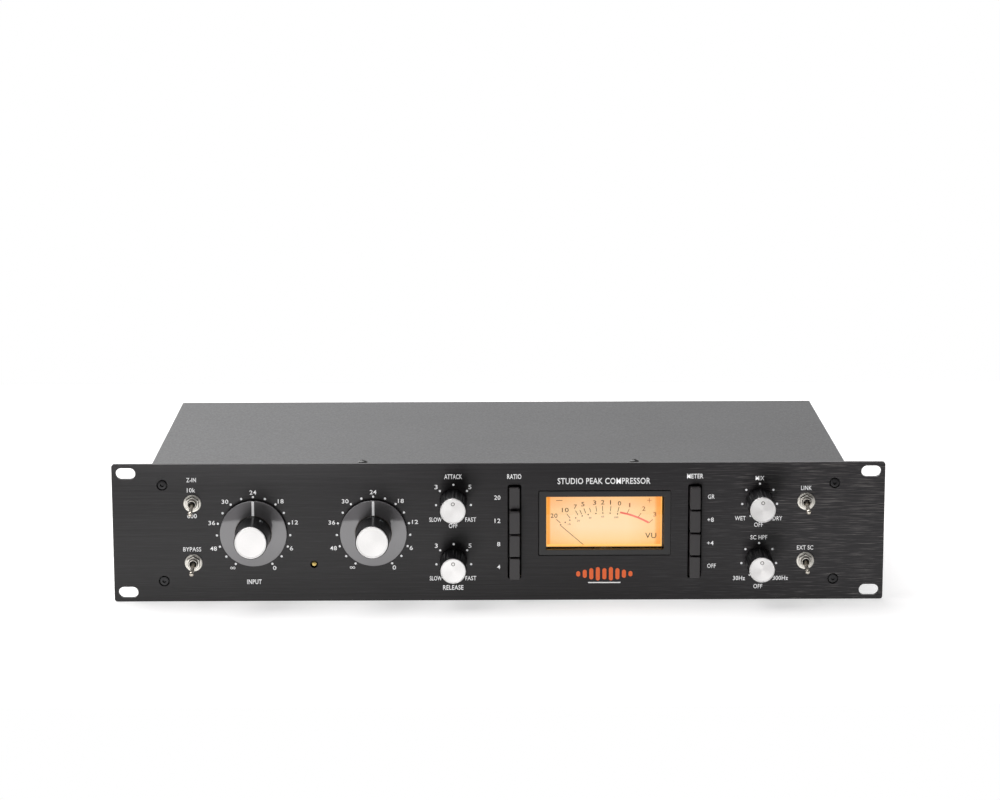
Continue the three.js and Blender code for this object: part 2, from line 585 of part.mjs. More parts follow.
for (const [name, at] of Object.entries(TOGGLES)) {
  add(name + "_switch", toggleSwitch(at), NICKEL);
  toggleLever(name, at);
}
for (const [name, bank] of Object.entries(BUTTON_BANKS)) {
  bank.names.forEach((label, row) => {
    const pressedBy = label === bank.pressed ? BUTTON.travel : 0;
    const face = inFront(bank.reach) + pressedBy;
    add(name + "_button_" + label, pushButton(bank.x, buttonZ(row), face), KEY_PLASTIC);
  });
  add(name + "_switch_bank", switchBank(bank.x), BLACK_PLASTIC);
}

add("meter_case", meterCase(), BLACK_PLASTIC);
add("meter_window", meterWindow(), CLEAR_ACRYLIC);
add("meter_scale", meterScale(), DIAL);
add("meter_movement", meterMovement(), ZINC);
meterPointer();

add("chassis_tray", chassisTray(), POWDER_COAT);
add("top_cover", topCover(), POWDER_COAT);
add("cover_screw_left", coverScrew(-COVER_SCREW.x), BLACK_STEEL);
add("cover_screw_right", coverScrew(COVER_SCREW.x), BLACK_STEEL);
add("main_board", mainBoard(), BOARD);
add("power_transformer", powerTransformer(), COPPER);
add("input_transformer", audioTransformer(84), LAMINATION);
add("output_transformer", audioTransformer(140), LAMINATION);
add("line_input_socket", lineInputSocket(), BLACK_PLASTIC);
add("line_output_socket", lineOutputSocket(), BLACK_PLASTIC);
add("link_jack", linkJack(), NICKEL);
add("power_inlet", powerInlet(), BLACK_PLASTIC);

unit.position.y = -TRAY.rear / 2;
export default unit;
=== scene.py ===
"""Looks for a two-unit rack compressor: brushed black panel, skirted knobs, push buttons and a lit meter.

Shapes are drawn in millimetres from the middle of the panel's front face (x right, y into the unit, z up)
and brought into the row frame, in metres, when they become pieces.
"""
import json
import math
import random

import bmesh
import bpy
from mathutils import Matrix, Vector

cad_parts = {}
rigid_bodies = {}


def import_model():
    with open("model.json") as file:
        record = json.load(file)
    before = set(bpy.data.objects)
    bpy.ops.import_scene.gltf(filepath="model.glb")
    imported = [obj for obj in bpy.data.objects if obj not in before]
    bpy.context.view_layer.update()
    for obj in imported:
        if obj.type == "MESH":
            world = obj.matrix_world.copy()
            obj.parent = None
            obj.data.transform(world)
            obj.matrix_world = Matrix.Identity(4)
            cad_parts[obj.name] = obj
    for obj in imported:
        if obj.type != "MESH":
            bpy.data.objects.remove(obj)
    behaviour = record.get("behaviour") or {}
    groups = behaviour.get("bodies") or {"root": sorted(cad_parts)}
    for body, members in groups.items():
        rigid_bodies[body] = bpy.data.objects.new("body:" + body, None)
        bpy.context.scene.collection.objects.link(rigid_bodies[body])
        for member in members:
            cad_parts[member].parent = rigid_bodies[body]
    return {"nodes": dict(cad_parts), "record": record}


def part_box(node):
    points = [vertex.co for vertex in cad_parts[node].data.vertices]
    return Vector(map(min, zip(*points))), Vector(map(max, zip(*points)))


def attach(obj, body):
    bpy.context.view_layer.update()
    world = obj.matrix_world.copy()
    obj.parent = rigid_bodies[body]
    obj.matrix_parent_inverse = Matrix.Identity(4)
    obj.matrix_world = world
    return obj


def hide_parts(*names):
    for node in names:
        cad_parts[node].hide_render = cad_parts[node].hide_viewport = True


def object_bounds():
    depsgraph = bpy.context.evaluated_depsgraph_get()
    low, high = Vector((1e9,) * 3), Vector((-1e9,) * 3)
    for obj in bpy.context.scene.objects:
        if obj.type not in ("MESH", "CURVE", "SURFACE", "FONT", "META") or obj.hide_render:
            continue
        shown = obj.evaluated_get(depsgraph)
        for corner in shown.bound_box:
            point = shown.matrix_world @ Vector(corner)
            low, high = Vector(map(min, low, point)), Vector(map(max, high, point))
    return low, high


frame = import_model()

CAD_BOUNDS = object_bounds()
PANEL_LOW, PANEL_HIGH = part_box("front_panel")
PANEL_MIDDLE = Vector((0, PANEL_LOW.y, (PANEL_LOW.z + PANEL_HIGH.z) / 2))
TO_ROW = Matrix.Translation(PANEL_MIDDLE) @ Matrix.Scale(0.001, 4)
TO_PANEL = TO_ROW.inverted()
# Stands what is drawn flat in x and y upright in x and z, with its face to the front.
FACE_FRONT = Matrix.Rotation(math.pi / 2, 4, "X")
# Edges that turn by more than this many degrees stay sharp when a piece is shaded smooth.
SHARP_ANGLE = 35


def cad_box(node):
    """The lowest and highest corner of a CAD node, in the panel's millimetres."""
    low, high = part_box(node)
    return TO_PANEL @ low, TO_PANEL @ high


def axis_of(node):
    """The (x, z) of a turned CAD node's axis."""
    low, high = cad_box(node)
    return (low.x + high.x) / 2, (low.z + high.z) / 2


# ---- materials ---------------------------------------------------------------------------------------------


def linear(r, g, b):
    """A display colour of 0 to 255 as linear light."""
    shares = (r / 255, g / 255, b / 255)
    return tuple(c / 12.92 if c <= 0.04045 else ((c + 0.055) / 1.055) ** 2.4 for c in shares) + (1,)


class Nodes:
    """A new material with its principled shader, and short ways to add and link nodes."""

    def __init__(self, name):
        self.material = bpy.data.materials.new(name)
        self.material.use_nodes = True
        self.tree = self.material.node_tree
        self.shader = self.tree.nodes["Principled BSDF"]

    def add(self, kind, **values):
        """A new node of this kind, with its settings."""
        node = self.tree.nodes.new(kind)
        for key, value in values.items():
            setattr(node, key, value)
        return node

    def link(self, source, target):
        """Joins an output socket to an input socket."""
        self.tree.links.new(source, target)

    def give(self, socket, value):
        """A socket's value, as a number or from another socket."""
        if isinstance(value, bpy.types.NodeSocket):
            self.link(value, socket)
        else:
            socket.default_value = value

    def place(self):
        """The X, Y and Z sockets of the shaded point, in the row frame's metres."""
        split = self.add("ShaderNodeSeparateXYZ")
        self.link(self.add("ShaderNodeTexCoord").outputs["Object"], split.inputs["Vector"])
        return split.outputs

    def noise(self, stretch, detail=4.0, rough=0.55):
        """Noise with this many features per metre, as one number or along x, y and z."""
        mapping = self.add("ShaderNodeMapping")
        mapping.inputs["Scale"].default_value = stretch if isinstance(stretch, tuple) else (stretch,) * 3
        self.link(self.add("ShaderNodeTexCoord").outputs["Object"], mapping.inputs["Vector"])
        texture = self.add("ShaderNodeTexNoise")
        texture.inputs["Scale"].default_value = 1
        texture.inputs["Detail"].default_value = detail
        texture.inputs["Roughness"].default_value = rough
        self.link(mapping.outputs["Vector"], texture.inputs["Vector"])
        return texture.outputs["Fac"]

    def spread(self, value, low, high, start=0.3, end=0.7):
        """value between start and end brought to between low and high."""
        node = self.add("ShaderNodeMapRange")
        for key, number in zip(("From Min", "From Max", "To Min", "To Max"), (start, end, low, high)):
            node.inputs[key].default_value = number
        self.link(value, node.inputs["Value"])
        return node.outputs["Result"]

    def ramp(self, value, stops):
        """A colour ramp of (position, colour) stops."""
        node = self.add("ShaderNodeValToRGB")
        elements = node.color_ramp.elements
        while len(elements) < len(stops):
            elements.new(0.5)
        for element, (position, colour) in zip(elements, stops):
            element.position = position
            element.color = colour
        self.link(value, node.inputs["Fac"])
        return node.outputs["Color"]

    def math(self, operation, *values):
        """The result of an arithmetic node on sockets or numbers."""
        node = self.add("ShaderNodeMath", operation=operation)
        for socket, value in zip(node.inputs, values):
            self.give(socket, value)
        return node.outputs["Value"]

    def vector_math(self, operation, *values):
        """The output sockets of a vector arithmetic node on sockets or vectors."""
        node = self.add("ShaderNodeVectorMath", operation=operation)
        for socket, value in zip(node.inputs, values):
            self.give(socket, value)
        return node.outputs

    def bump(self, height, strength, depth_mm, normal=None):
        """A normal that follows height, which goes over a normal made before it."""
        node = self.add("ShaderNodeBump")
        node.inputs["Strength"].default_value = strength
        node.inputs["Distance"].default_value = depth_mm / 1000
        self.link(height, node.inputs["Height"])
        if normal:
            self.link(normal, node.inputs["Normal"])
        return node.outputs["Normal"]

    def set(self, **values):
        """The shader's inputs, named with underscores for spaces."""
        for key, value in values.items():
            self.give(self.shader.inputs[key.replace("_", " ")], value)


def shade(colour, factor):
    """A colour made darker or lighter by factor."""
    return tuple(c * factor for c in colour[:3]) + (1,)


def grained(name, colour, roughness, metallic=0.0, stretch=900, tint=0.12, wear=0.06, relief=0.02,
            **extra):
    """A finish whose colour, roughness and height all follow one fine grain."""
    m = Nodes(name)
    grain = m.noise(stretch)
    tones = [(0, shade(colour, 1 - tint)), (1, shade(colour, 1 + tint))]
    m.set(
        Base_Color=m.ramp(m.spread(grain, 0, 1), tones),
        Roughness=m.spread(grain, roughness - wear, roughness + wear),
        Metallic=metallic,
        Normal=m.bump(grain, 0.6, relief),
        **extra,
    )
    return m.material


def brushed_panel():
    """Black anodising over metal brushed along x: nearly black, and its reflections are drawn out upright.

    The scratches carry painted glints towards the right end, and painted light lightens the tone a little
    towards the top and the right.
    """
    m = Nodes("black_anodised")
    streaks = m.noise((7, 40, 800), detail=6, rough=0.7)
    scratches = m.noise((55, 200, 2200), detail=2, rough=0.6)
    clouds = m.noise((6, 6, 10), detail=2)
    at = m.place()
    # Painted light and shade: right lightens the colour towards the right end, and up lightens it towards the
    # top, leaving it darker low down.
    right = m.spread(at["X"], 0.15, 1.0, start=0.06, end=0.2)
    up = m.spread(at["Z"], 0.03, 0.27, start=PANEL_LOW.z, end=PANEL_HIGH.z)
    # Painted glints on the scratches, and a painted sheen made of the lightening towards the right and the
    # top.
    painted_glints = m.math("MULTIPLY", m.spread(scratches, 0.12, 1, start=0.5, end=0.72), right)
    sheen = m.math("MULTIPLY_ADD", right, 0.11, up)
    body = m.math("ADD", sheen, m.spread(streaks, 0, 0.12))
    tone = m.math("MULTIPLY_ADD", painted_glints, 0.85, body)
    rough = m.math("ADD", m.spread(streaks, 0.2, 0.26), m.spread(clouds, -0.02, 0.02))
    tangent = m.add("ShaderNodeCombineXYZ")
    tangent.inputs["Z"].default_value = 1
    m.set(
        Base_Color=m.ramp(tone, [
            (0, (0.02, 0.0175, 0.018, 1)), (0.6, (0.075, 0.071, 0.075, 1)), (1, (0.24, 0.225, 0.22, 1)),
        ]),
        Roughness=rough,
        Specular_IOR_Level=0.38,
        Anisotropic=0.9,
        Tangent=tangent.outputs["Vector"],
        Normal=m.bump(scratches, 0.12, 0.002, m.bump(streaks, 0.07, 0.003)),
    )
    return m.material


def powder_coat():
    """Charcoal powder coat: an even orange-peel texture with a slight sheen."""
    m = Nodes("powder_coat")
    peel = m.noise(800, detail=2, rough=0.6)
    clouds = m.noise(14, detail=3)
    m.set(
        Base_Color=m.ramp(m.spread(clouds, 0, 1), [(0, linear(70, 70, 71)), (1, linear(74, 74, 75))]),
        Roughness=m.spread(peel, 0.46, 0.66),
        Normal=m.bump(peel, 0.7, 0.12),
    )
    return m.material


def spun(name, colour, roughness):
    """Turned metal: fine rings round the middle of the piece."""
    m = Nodes(name)
    across = m.add("ShaderNodeTexCoord").outputs["Generated"]
    centred = m.vector_math("SUBTRACT", across, (0.5, 0, 0.5))["Vector"]
    flat = m.vector_math("MULTIPLY", centred, (1, 0, 1))["Vector"]
    texture = m.add("ShaderNodeTexNoise", noise_dimensions="1D")
    texture.inputs["Scale"].default_value = 90
    texture.inputs["Detail"].default_value = 3
    m.link(m.vector_math("LENGTH", flat)["Value"], texture.inputs["W"])
    rings = texture.outputs["Fac"]
    tangent = m.add("ShaderNodeTangent", direction_type="RADIAL", axis="Y")
    m.set(
        Base_Color=m.ramp(m.spread(rings, 0, 1), [(0, shade(colour, 0.88)), (1, colour)]),
        Roughness=m.spread(rings, roughness - 0.05, roughness + 0.05),
        Metallic=0.8,
        Anisotropic=0.3,
        Tangent=tangent.outputs["Tangent"],
        Normal=m.bump(rings, 0.15, 0.01),
    )
    return m.material


def lit_card():
    """The dial: a cream card lit from behind, more orange towards its edges."""
    m = Nodes("dial")
    low, high = METER_GLOW
    at = m.place()
    across = m.spread(at["X"], 0, 1, start=low.x, end=high.x)
    up = m.spread(at["Z"], 0, 1, start=low.z, end=high.z)
    sides = m.ramp(across, [
        (0, linear(252, 186, 96)), (0.022, linear(252, 190, 100)), (0.032, linear(253, 232, 214)),
        (0.3, linear(255, 250, 246)), (0.7, linear(255, 250, 244)), (0.94, linear(254, 236, 212)),
        (0.965, linear(252, 200, 140)), (1, linear(250, 186, 118)),
    ])
    rise = m.ramp(up, [
        (0, linear(250, 204, 132)), (0.1, linear(253, 216, 158)), (0.35, linear(254, 225, 182)),
        (0.7, linear(254, 224, 178)), (0.8, linear(255, 212, 166)), (1, linear(255, 202, 140)),
    ])
    glow = m.add("ShaderNodeMix", data_type="RGBA", blend_type="MULTIPLY")
    glow.inputs["Factor"].default_value = 1
    m.link(sides, glow.inputs[6])
    m.link(rise, glow.inputs[7])
    m.set(
        Base_Color=shade(linear(250, 215, 165), 0.15),
        Roughness=m.spread(m.noise(700, detail=3), 0.75, 0.85),
        Emission_Color=glow.outputs[2],
        Emission_Strength=1.0,
        Specular_IOR_Level=0.1,
    )
    return m.material


def lit_frame():
    """The translucent frame round the dial, brighter where it meets the card."""
    m = Nodes("dial_frame")
    low, high = METER_GLOW
    deep = m.spread(m.place()["Y"], 0, 1, start=low.y, end=high.y)
    glow = m.ramp(deep, [(0, linear(206, 128, 40)), (0.4, linear(246, 178, 84)), (1, linear(252, 196, 104))])
    m.set(
        Base_Color=shade(linear(250, 190, 110), 0.3),
        Roughness=m.spread(m.noise(600), 0.4, 0.5),
        Emission_Color=glow,
        Emission_Strength=1.0,
    )
    return m.material


def clear_glass():
    """Clear acrylic with hardly visible smears."""
    m = Nodes("window_glass")
    smears = m.noise((60, 60, 25), detail=3)
    m.set(
        Base_Color=(1, 1, 1, 1),
        Roughness=m.spread(smears, 0.0, 0.03),
        Transmission_Weight=1.0,
        IOR=1.3,
    )
    return m.material


# ---- mesh building -----------------------------------------------------------------------------------------


def eased(profile, ease, steps=3):
    """The (radius, y) profile with each inner corner rounded off by ease, or by a third value of its own."""
    longest = 0.45
    out = [tuple(profile[0][:2])]
    for before, point, after in zip(profile, profile[1:], profile[2:]):
        here = Vector(point[:2])
        reach = point[2] if len(point) > 2 else ease
        back = Vector(before[:2]) - here
        on = Vector(after[:2]) - here
        start = here + back.normalized() * min(reach, back.length * longest)
        end = here + on.normalized() * min(reach, on.length * longest)
        for i in range(steps + 1):
            t = i / steps
            out.append(tuple(start * (1 - t) ** 2 + here * 2 * t * (1 - t) + end * t * t))
    return out + [tuple(profile[-1][:2])]


def lathe(profile, sides=72, at=(0, 0), closed=False):
    """Turns a (radius, y) profile about the y axis through at. An open one starts and ends on the axis."""
    bm = bmesh.new()
    rings = []
    for radius, y in profile:
        if radius < 1e-6:
            rings.append([bm.verts.new((at[0], y, at[1]))])
            continue
        ring = []
        for i in range(sides):
            a = 2 * math.pi * i / sides
            ring.append(bm.verts.new((at[0] + radius * math.sin(a), y, at[1] + radius * math.cos(a))))
        rings.append(ring)
    pairs = list(zip(rings, rings[1:])) + ([(rings[-1], rings[0])] if closed else [])
    for one, two in pairs:
        skin(bm, one, two)
    bmesh.ops.recalc_face_normals(bm, faces=bm.faces)
    return bm


def skin(bm, one, two):
    """Faces between two rings, either of which may be a single point."""
    count = max(len(one), len(two))
    if count == 1:
        return
    for i in range(count):
        j = (i + 1) % count
        corners = [one[i % len(one)], one[j % len(one)], two[j % len(two)], two[i % len(two)]]
        unique = [v for k, v in enumerate(corners) if v not in corners[:k]]
        bm.faces.new(unique)


def box(low, high, ease=0.0, segments=2):
    """A block between two corners, its edges rounded off by ease."""
    bm = bmesh.new()
    bmesh.ops.create_cube(bm, size=1)
    low, high = Vector(low), Vector(high)
    for v in bm.verts:
        v.co = Vector((low[i] + (high[i] - low[i]) * (v.co[i] + 0.5) for i in range(3)))
    if ease:
        bmesh.ops.bevel(bm, geom=bm.edges[:], offset=ease, segments=segments, profile=0.6, affect="EDGES")
    return bm


def curve_solid(curve):
    """What a curve draws, as a bmesh. The curve is used up."""
    holder = bpy.data.objects.new("curve", curve)
    mesh = bpy.data.meshes.new_from_object(holder)
    bm = bmesh.new()
    bm.from_mesh(mesh)
    bpy.data.meshes.remove(mesh)
    bpy.data.objects.remove(holder)
    bpy.data.curves.remove(curve)
    return bm


def plate(outlines, front, rear, ease=0.2, rounds=2):
    """A flat piece with eased edges. The first (x, z) outline is its edge, the others are holes in it."""
    curve = bpy.data.curves.new("plate", "CURVE")
    curve.dimensions = "2D"
    curve.fill_mode = "BOTH"
    curve.extrude = (rear - front) / 2 - ease
    curve.bevel_depth = ease
    curve.bevel_resolution = rounds
    curve.offset = -ease
    for number, outline in enumerate(outlines):
        points = outline if number == 0 else outline[::-1]
        spline = curve.splines.new("POLY")
        spline.points.add(len(points) - 1)
        for point, (x, z) in zip(spline.points, points):
            point.co = (x, z, 0, 1)
        spline.use_cyclic_u = True
    bm = moved(curve_solid(curve), y=(front + rear) / 2, turn=FACE_FRONT)
    bmesh.ops.remove_doubles(bm, verts=bm.verts, dist=1e-4)
    bmesh.ops.recalc_face_normals(bm, faces=bm.faces)
    return bm


def arc(x, z, radius, start, end, steps):
    """Points anticlockwise round (x, z), in degrees from the x axis."""
    angles = [math.radians(start + (end - start) * i / steps) for i in range(steps + 1)]
    return [(x + radius * math.cos(a), z + radius * math.sin(a)) for a in angles]


def rounded_rect(wide, tall, radius, x=0.0, z=0.0, steps=6):
    """The outline of a rectangle with round corners, centred on (x, z)."""
    dx, dz = wide / 2 - radius, tall / 2 - radius
    return (arc(x + dx, z + dz, radius, 0, 90, steps) + arc(x - dx, z + dz, radius, 90, 180, steps)
            + arc(x - dx, z - dz, radius, 180, 270, steps) + arc(x + dx, z - dz, radius, 270, 360, steps))


def pane(left, right, bottom, top, radius, grow=0.0):
    """The outline of a rectangle with round corners between four edges, each moved outwards by grow."""
    return rounded_rect(right - left + 2 * grow, top - bottom + 2 * grow, radius,
                        (left + right) / 2, (bottom + top) / 2)


def circle(radius, x=0.0, z=0.0, steps=48):
    """The outline of a circle."""
    return arc(x, z, radius, 0, 360, steps)[:-1]


def hexagon(flats, x=0.0, z=0.0, turn=30):
    """The outline of a hexagon this wide over its flats, a corner at turn degrees from the x axis."""
    return arc(x, z, flats / math.sqrt(3), turn, turn + 360, 6)[:-1]


def merged(*parts):
    """Several bmeshes as one."""
    whole = bmesh.new()
    for part in parts:
        mesh = bpy.data.meshes.new("part")
        part.to_mesh(mesh)
        part.free()
        whole.from_mesh(mesh)
        bpy.data.meshes.remove(mesh)
    return whole


def moved(bm, x=0.0, y=0.0, z=0.0, turn=None):
    """bm turned about the origin, then shifted."""
    matrix = Matrix.Translation((x, y, z))
    bmesh.ops.transform(bm, verts=bm.verts, matrix=matrix @ turn if turn else matrix)
    return bm


def piece(name, bm, material, body, replaces=()):
    """Makes bm a piece of the object that rides on a CAD body."""
    bm.transform(TO_ROW)
    mesh = bpy.data.meshes.new(name)
    bm.to_mesh(mesh)
    bm.free()
    mesh.materials.append(material)
    obj = bpy.data.objects.new(name, mesh)
    bpy.context.scene.collection.objects.link(obj)
    mesh.shade_smooth()
    mesh.set_sharp_from_angle(angle=math.radians(SHARP_ANGLE))
    weighted = obj.modifiers.new("flat faces stay flat", "WEIGHTED_NORMAL")
    weighted.keep_sharp = True
    weighted.weight = 100
    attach(obj, body)
    if replaces:
        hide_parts(*replaces)
    return obj


def carve(obj, cutter):
    """Cuts a bmesh out of a finished piece."""
    cutter.transform(TO_ROW)
    mesh = bpy.data.meshes.new("cutter")
    cutter.to_mesh(mesh)
    cutter.free()
    tool = bpy.data.objects.new("cutter", mesh)
    bpy.context.scene.collection.objects.link(tool)
    modifier = obj.modifiers.new("carve", "BOOLEAN")
    modifier.object = tool
    modifier.operation = "DIFFERENCE"
    modifier.solver = "EXACT"
    obj.modifiers.move(len(obj.modifiers) - 1, 0)
    with bpy.context.temp_override(object=obj):
        bpy.ops.object.modifier_apply(modifier=modifier.name)
    obj.data.set_sharp_from_angle(angle=math.radians(SHARP_ANGLE))
    bpy.data.objects.remove(tool)


# ---- printed legends ---------------------------------------------------------------------------------------


# The height of the built-in font's capitals at size 1, and how thick print is.
CAP_HEIGHT = 0.682
PRINT_THICK = 0.06


def lettering(text, height, width, bold=0.012):
    """Text as a thin solid centred on the origin, its capitals height tall and the whole of it width wide."""
    curve = bpy.data.curves.new("text", "FONT")
    curve.body = text
    curve.size = 1
    curve.offset = bold
    curve.space_character = 1.06
    curve.extrude = 0.01
    curve.resolution_u = 3
    bm = curve_solid(curve)
    left = min(v.co.x for v in bm.verts)
    right = max(v.co.x for v in bm.verts)
    size = Matrix.Diagonal((width / (right - left), height / CAP_HEIGHT, PRINT_THICK / 0.02, 1))
    centre = Matrix.Translation((-(left + right) / 2, -CAP_HEIGHT / 2, 0))
    bmesh.ops.transform(bm, verts=bm.verts, matrix=FACE_FRONT @ size @ centre)
    bmesh.ops.remove_doubles(bm, verts=bm.verts, dist=1e-5)
    return bm


def words(entries, height, bold=0.012, y=0.0):
    """(text, x, z, width) entries printed on the plane y."""
    return [moved(lettering(text, height, width, bold), x, y, z) for text, x, z, width in entries]


def dot(x, z, radius, y=0.0):
    """A round printed dot."""
    half = PRINT_THICK / 2
    return lathe([(0, y - half), (radius, y - half), (radius, y + half), (0, y + half)], 16, (x, z))


def dial_dots(x, z, radius, angles, size):
    """Dots round (x, z), at angles in degrees clockwise from the top."""
    dots = []
    for angle in angles:
        a = math.radians(angle)
        dots.append(dot(x + radius * math.sin(a), z + radius * math.cos(a), size))
    return dots


LARGE_KNOBS = ("input", "output")
SMALL_KNOBS = ("attack", "release", "mix", "filter")
SWITCHES = ("impedance", "bypass", "link", "sidechain")

# (text, x, z, width) entries. The level marks are placed from the middle of their knob.
LEVEL_MARKS = [
    ("24", 0, 25.9, 4.2), ("30", -17.5, 20.1, 4.2), ("36", -26, 6.5, 4.2), ("48", -25.2, -10, 4.3),
    ("0", 12.8, -22.6, 2.2), ("6", 23.5, -10, 2), ("12", 26, 6.7, 3.8), ("18", 17.3, 20.2, 3.6),
]
NO_LEVEL_MARK = ("∞", -13.4, -22.4, 3.3)
LEGENDS = [
    ("Z-IN", -191.7, 34, 6), ("10k", -191.9, 27.5, 5.2), ("600", -191.6, 11, 6),
    ("BYPASS", -192, -10.4, 11.3),
    ("3", -39.1, 29, 1.9), ("5", -18, 29, 1.9),
    ("SLOW", -39.6, 8.1, 7.7), ("FAST", -17.6, 8.1, 6.8), ("OFF", -28.6, 4.1, 5.4),
    ("3", -39.2, -8.7, 1.9), ("5", -18.1, -8.7, 1.9),
    ("SLOW", -39.6, -29.7, 7.7), ("FAST", -17.6, -29.7, 6.8),
    ("20", -0.9, 22.1, 3.9), ("12", -0.8, 7.2, 3.7), ("8", -0.1, -7.8, 2), ("4", -0.1, -22.5, 2),
    ("GR", 132.8, 22.2, 4.2), ("+8", 132.5, 7.4, 4.1), ("+4", 132.5, -7.6, 4.1), ("OFF", 133.4, -22.3, 5.4),
    ("MIX", 163, 34, 5.4), ("WET", 151.1, 8.3, 6.8), ("DRY", 174.4, 8.2, 6), ("OFF", 162.6, 4.1, 5.6),
    ("SC HPF", 162.9, -4, 10.5), ("30Hz", 150.8, -30.3, 7.6), ("300Hz", 176.8, -30.3, 9.6),
    ("OFF", 162.7, -35.6, 5.6), ("LINK", 192.2, 27.6, 6.7), ("EXT SC", 192, -10.7, 10.2),
]
HEADINGS = [
    ("INPUT", -153.4, -31.5, 9.1), ("ATTACK", -28.4, 35.6, 11.1), ("RELEASE", -28.7, -35.7, 12.8),
    ("RATIO", 9.7, 35.5, 8.9), ("METER", 122.6, 35.4, 10.2),
]
TITLE = ("STUDIO PEAK COMPRESSOR", 65.7, 32.5, 58)
DIAL_HALF_TURN = 150
LEVEL_DOTS, LEVEL_DOTS_RADIUS = 17, 23.0
SMALL_DOTS, SMALL_DOTS_RADIUS = 7, 11.05
BAR_HEIGHTS = [3.4, 5.2, 7.2, 8.6, 7.2, 8.6, 7.2, 5.2, 3.4]
BAR_WIDE, BAR_STEP = 2.5, 4.1
BARS_X, BARS_Z = 66.2, -27.2


def dial_angles(count):
    """The angles of this many dots, spread evenly over a dial."""
    return [DIAL_HALF_TURN * (2 * i / (count - 1) - 1) for i in range(count)]


def panel_legends():
    """Everything printed white on the panel: words, dial dots and the line under the bars."""
    prints = words(LEGENDS, 2.65) + words(HEADINGS, 2.85, 0.02) + words([TITLE], 3.7, 0.014)
    for name in LARGE_KNOBS:
        x, z = axis_of(name + "_knob_cap")
        prints += words([(text, x + dx, z + dz, wide) for text, dx, dz, wide in LEVEL_MARKS], 2.55)
        text, dx, dz, wide = NO_LEVEL_MARK
        prints += words([(text, x + dx, z + dz, wide)], 2.7, 0)
        prints += dial_dots(x, z, LEVEL_DOTS_RADIUS, dial_angles(LEVEL_DOTS), 0.7)
    for name in SMALL_KNOBS:
        x, z = axis_of(name + "_knob_cap")
        prints += dial_dots(x + 0.2, z + 0.3, SMALL_DOTS_RADIUS, dial_angles(SMALL_DOTS), 0.68)
    prints.append(box((56, -PRINT_THICK / 2, -33.2), (76.4, PRINT_THICK / 2, -32.5)))
    piece("panel_legends", merged(*prints), INK_WHITE, "case")


def level_bars():
    """A plain row of upright orange bars."""
    half = PRINT_THICK / 2
    bars = []
    for i, tall in enumerate(BAR_HEIGHTS):
        x = BARS_X + BAR_STEP * (i - (len(BAR_HEIGHTS) - 1) / 2)
        bars.append(plate([rounded_rect(BAR_WIDE, tall, 1.2, x, BARS_Z)], -half, half, 0.01, 0))
    piece("panel_bars", merged(*bars), INK_ORANGE, "case")


# ---- panel and case ----------------------------------------------------------------------------------------

PANEL_WIDE, PANEL_TALL, PANEL_THICK = 482.6, 88.1, 3.0
RACK_SLOT_WIDE, RACK_SLOT_TALL = 12.3, 7.1
RACK_SLOT_X, RACK_SLOT_Z = 232.55, 38.1
KEY_OPENING_WIDE, KEY_OPENING_TALL = 8.4, 60.2
RATIO_KEYS_X, METER_KEYS_X = 9.8, 122.6
LARGE_KNOB_HOLE, SMALL_KNOB_HOLE, SWITCH_HOLE, TRIM_HOLE, SCREW_HOLE = 5, 4.1, 3.2, 2.25, 3.35
PANEL_SCREWS = ["panel_screw_" + place for place in ("top_left", "top_right", "bottom_left", "bottom_right")]


def front_panel():
    """The rack panel with its slots, openings and holes."""
    holes = []
    for x in (-RACK_SLOT_X, RACK_SLOT_X):
        for z in (-RACK_SLOT_Z, RACK_SLOT_Z):
            holes.append(rounded_rect(RACK_SLOT_WIDE, RACK_SLOT_TALL, RACK_SLOT_TALL / 2 - 0.01, x, z, 10))
    for x in (RATIO_KEYS_X, METER_KEYS_X):
        holes.append(rounded_rect(KEY_OPENING_WIDE, KEY_OPENING_TALL, 1.2, x, 0))
    holes.append(rounded_rect(82.95, 41.8, 1.0, 66.22, 5.55))
    holes += [circle(LARGE_KNOB_HOLE, *axis_of(name + "_knob_cap")) for name in LARGE_KNOBS]
    holes += [circle(SMALL_KNOB_HOLE, *axis_of(name + "_knob_cap")) for name in SMALL_KNOBS]
    holes += [circle(SWITCH_HOLE, *axis_of(name + "_switch")) for name in SWITCHES]
    holes.append(circle(TRIM_HOLE, *axis_of("trim_screw")))
    holes += [circle(SCREW_HOLE, *axis_of(node)) for node in PANEL_SCREWS]
    panel = plate([rounded_rect(PANEL_WIDE, PANEL_TALL, 1.8, steps=8)] + holes, 0, PANEL_THICK, 0.22)
    piece("panel", panel, FINISH["black_anodised"], "case", ["front_panel"])


def panel_screw(node):
    """A countersunk head with a hexagon socket, a narrow dark gap round it."""
    x, z = at = axis_of(node)
    head = lathe(eased([(0, 8.6), (1.5, 8.6), (1.5, 1.6), (2.7, 0.7), (2.7, 0.05), (0, 0.05)], 0.14), 40, at)
    screw = piece(node + "_head", head, FINISH["black_steel"], "case", [node])
    carve(screw, plate([hexagon(2.3, x, z, random.uniform(0, 60))], -1, 1.2, 0.01, 0))


def case_shell():
    """Rounds the folds of the tray and the cover, whose CAD nodes stay in view."""
    for node in ("chassis_tray", "top_cover"):
        shell = frame["nodes"][node]
        bevel = shell.modifiers.new("folded edges", "BEVEL")
        bevel.width = 0.0005
        bevel.segments = 3
        bevel.limit_method = "ANGLE"
        bevel.angle_limit = math.radians(50)
        bevel.use_clamp_overlap = True
        bevel.harden_normals = False


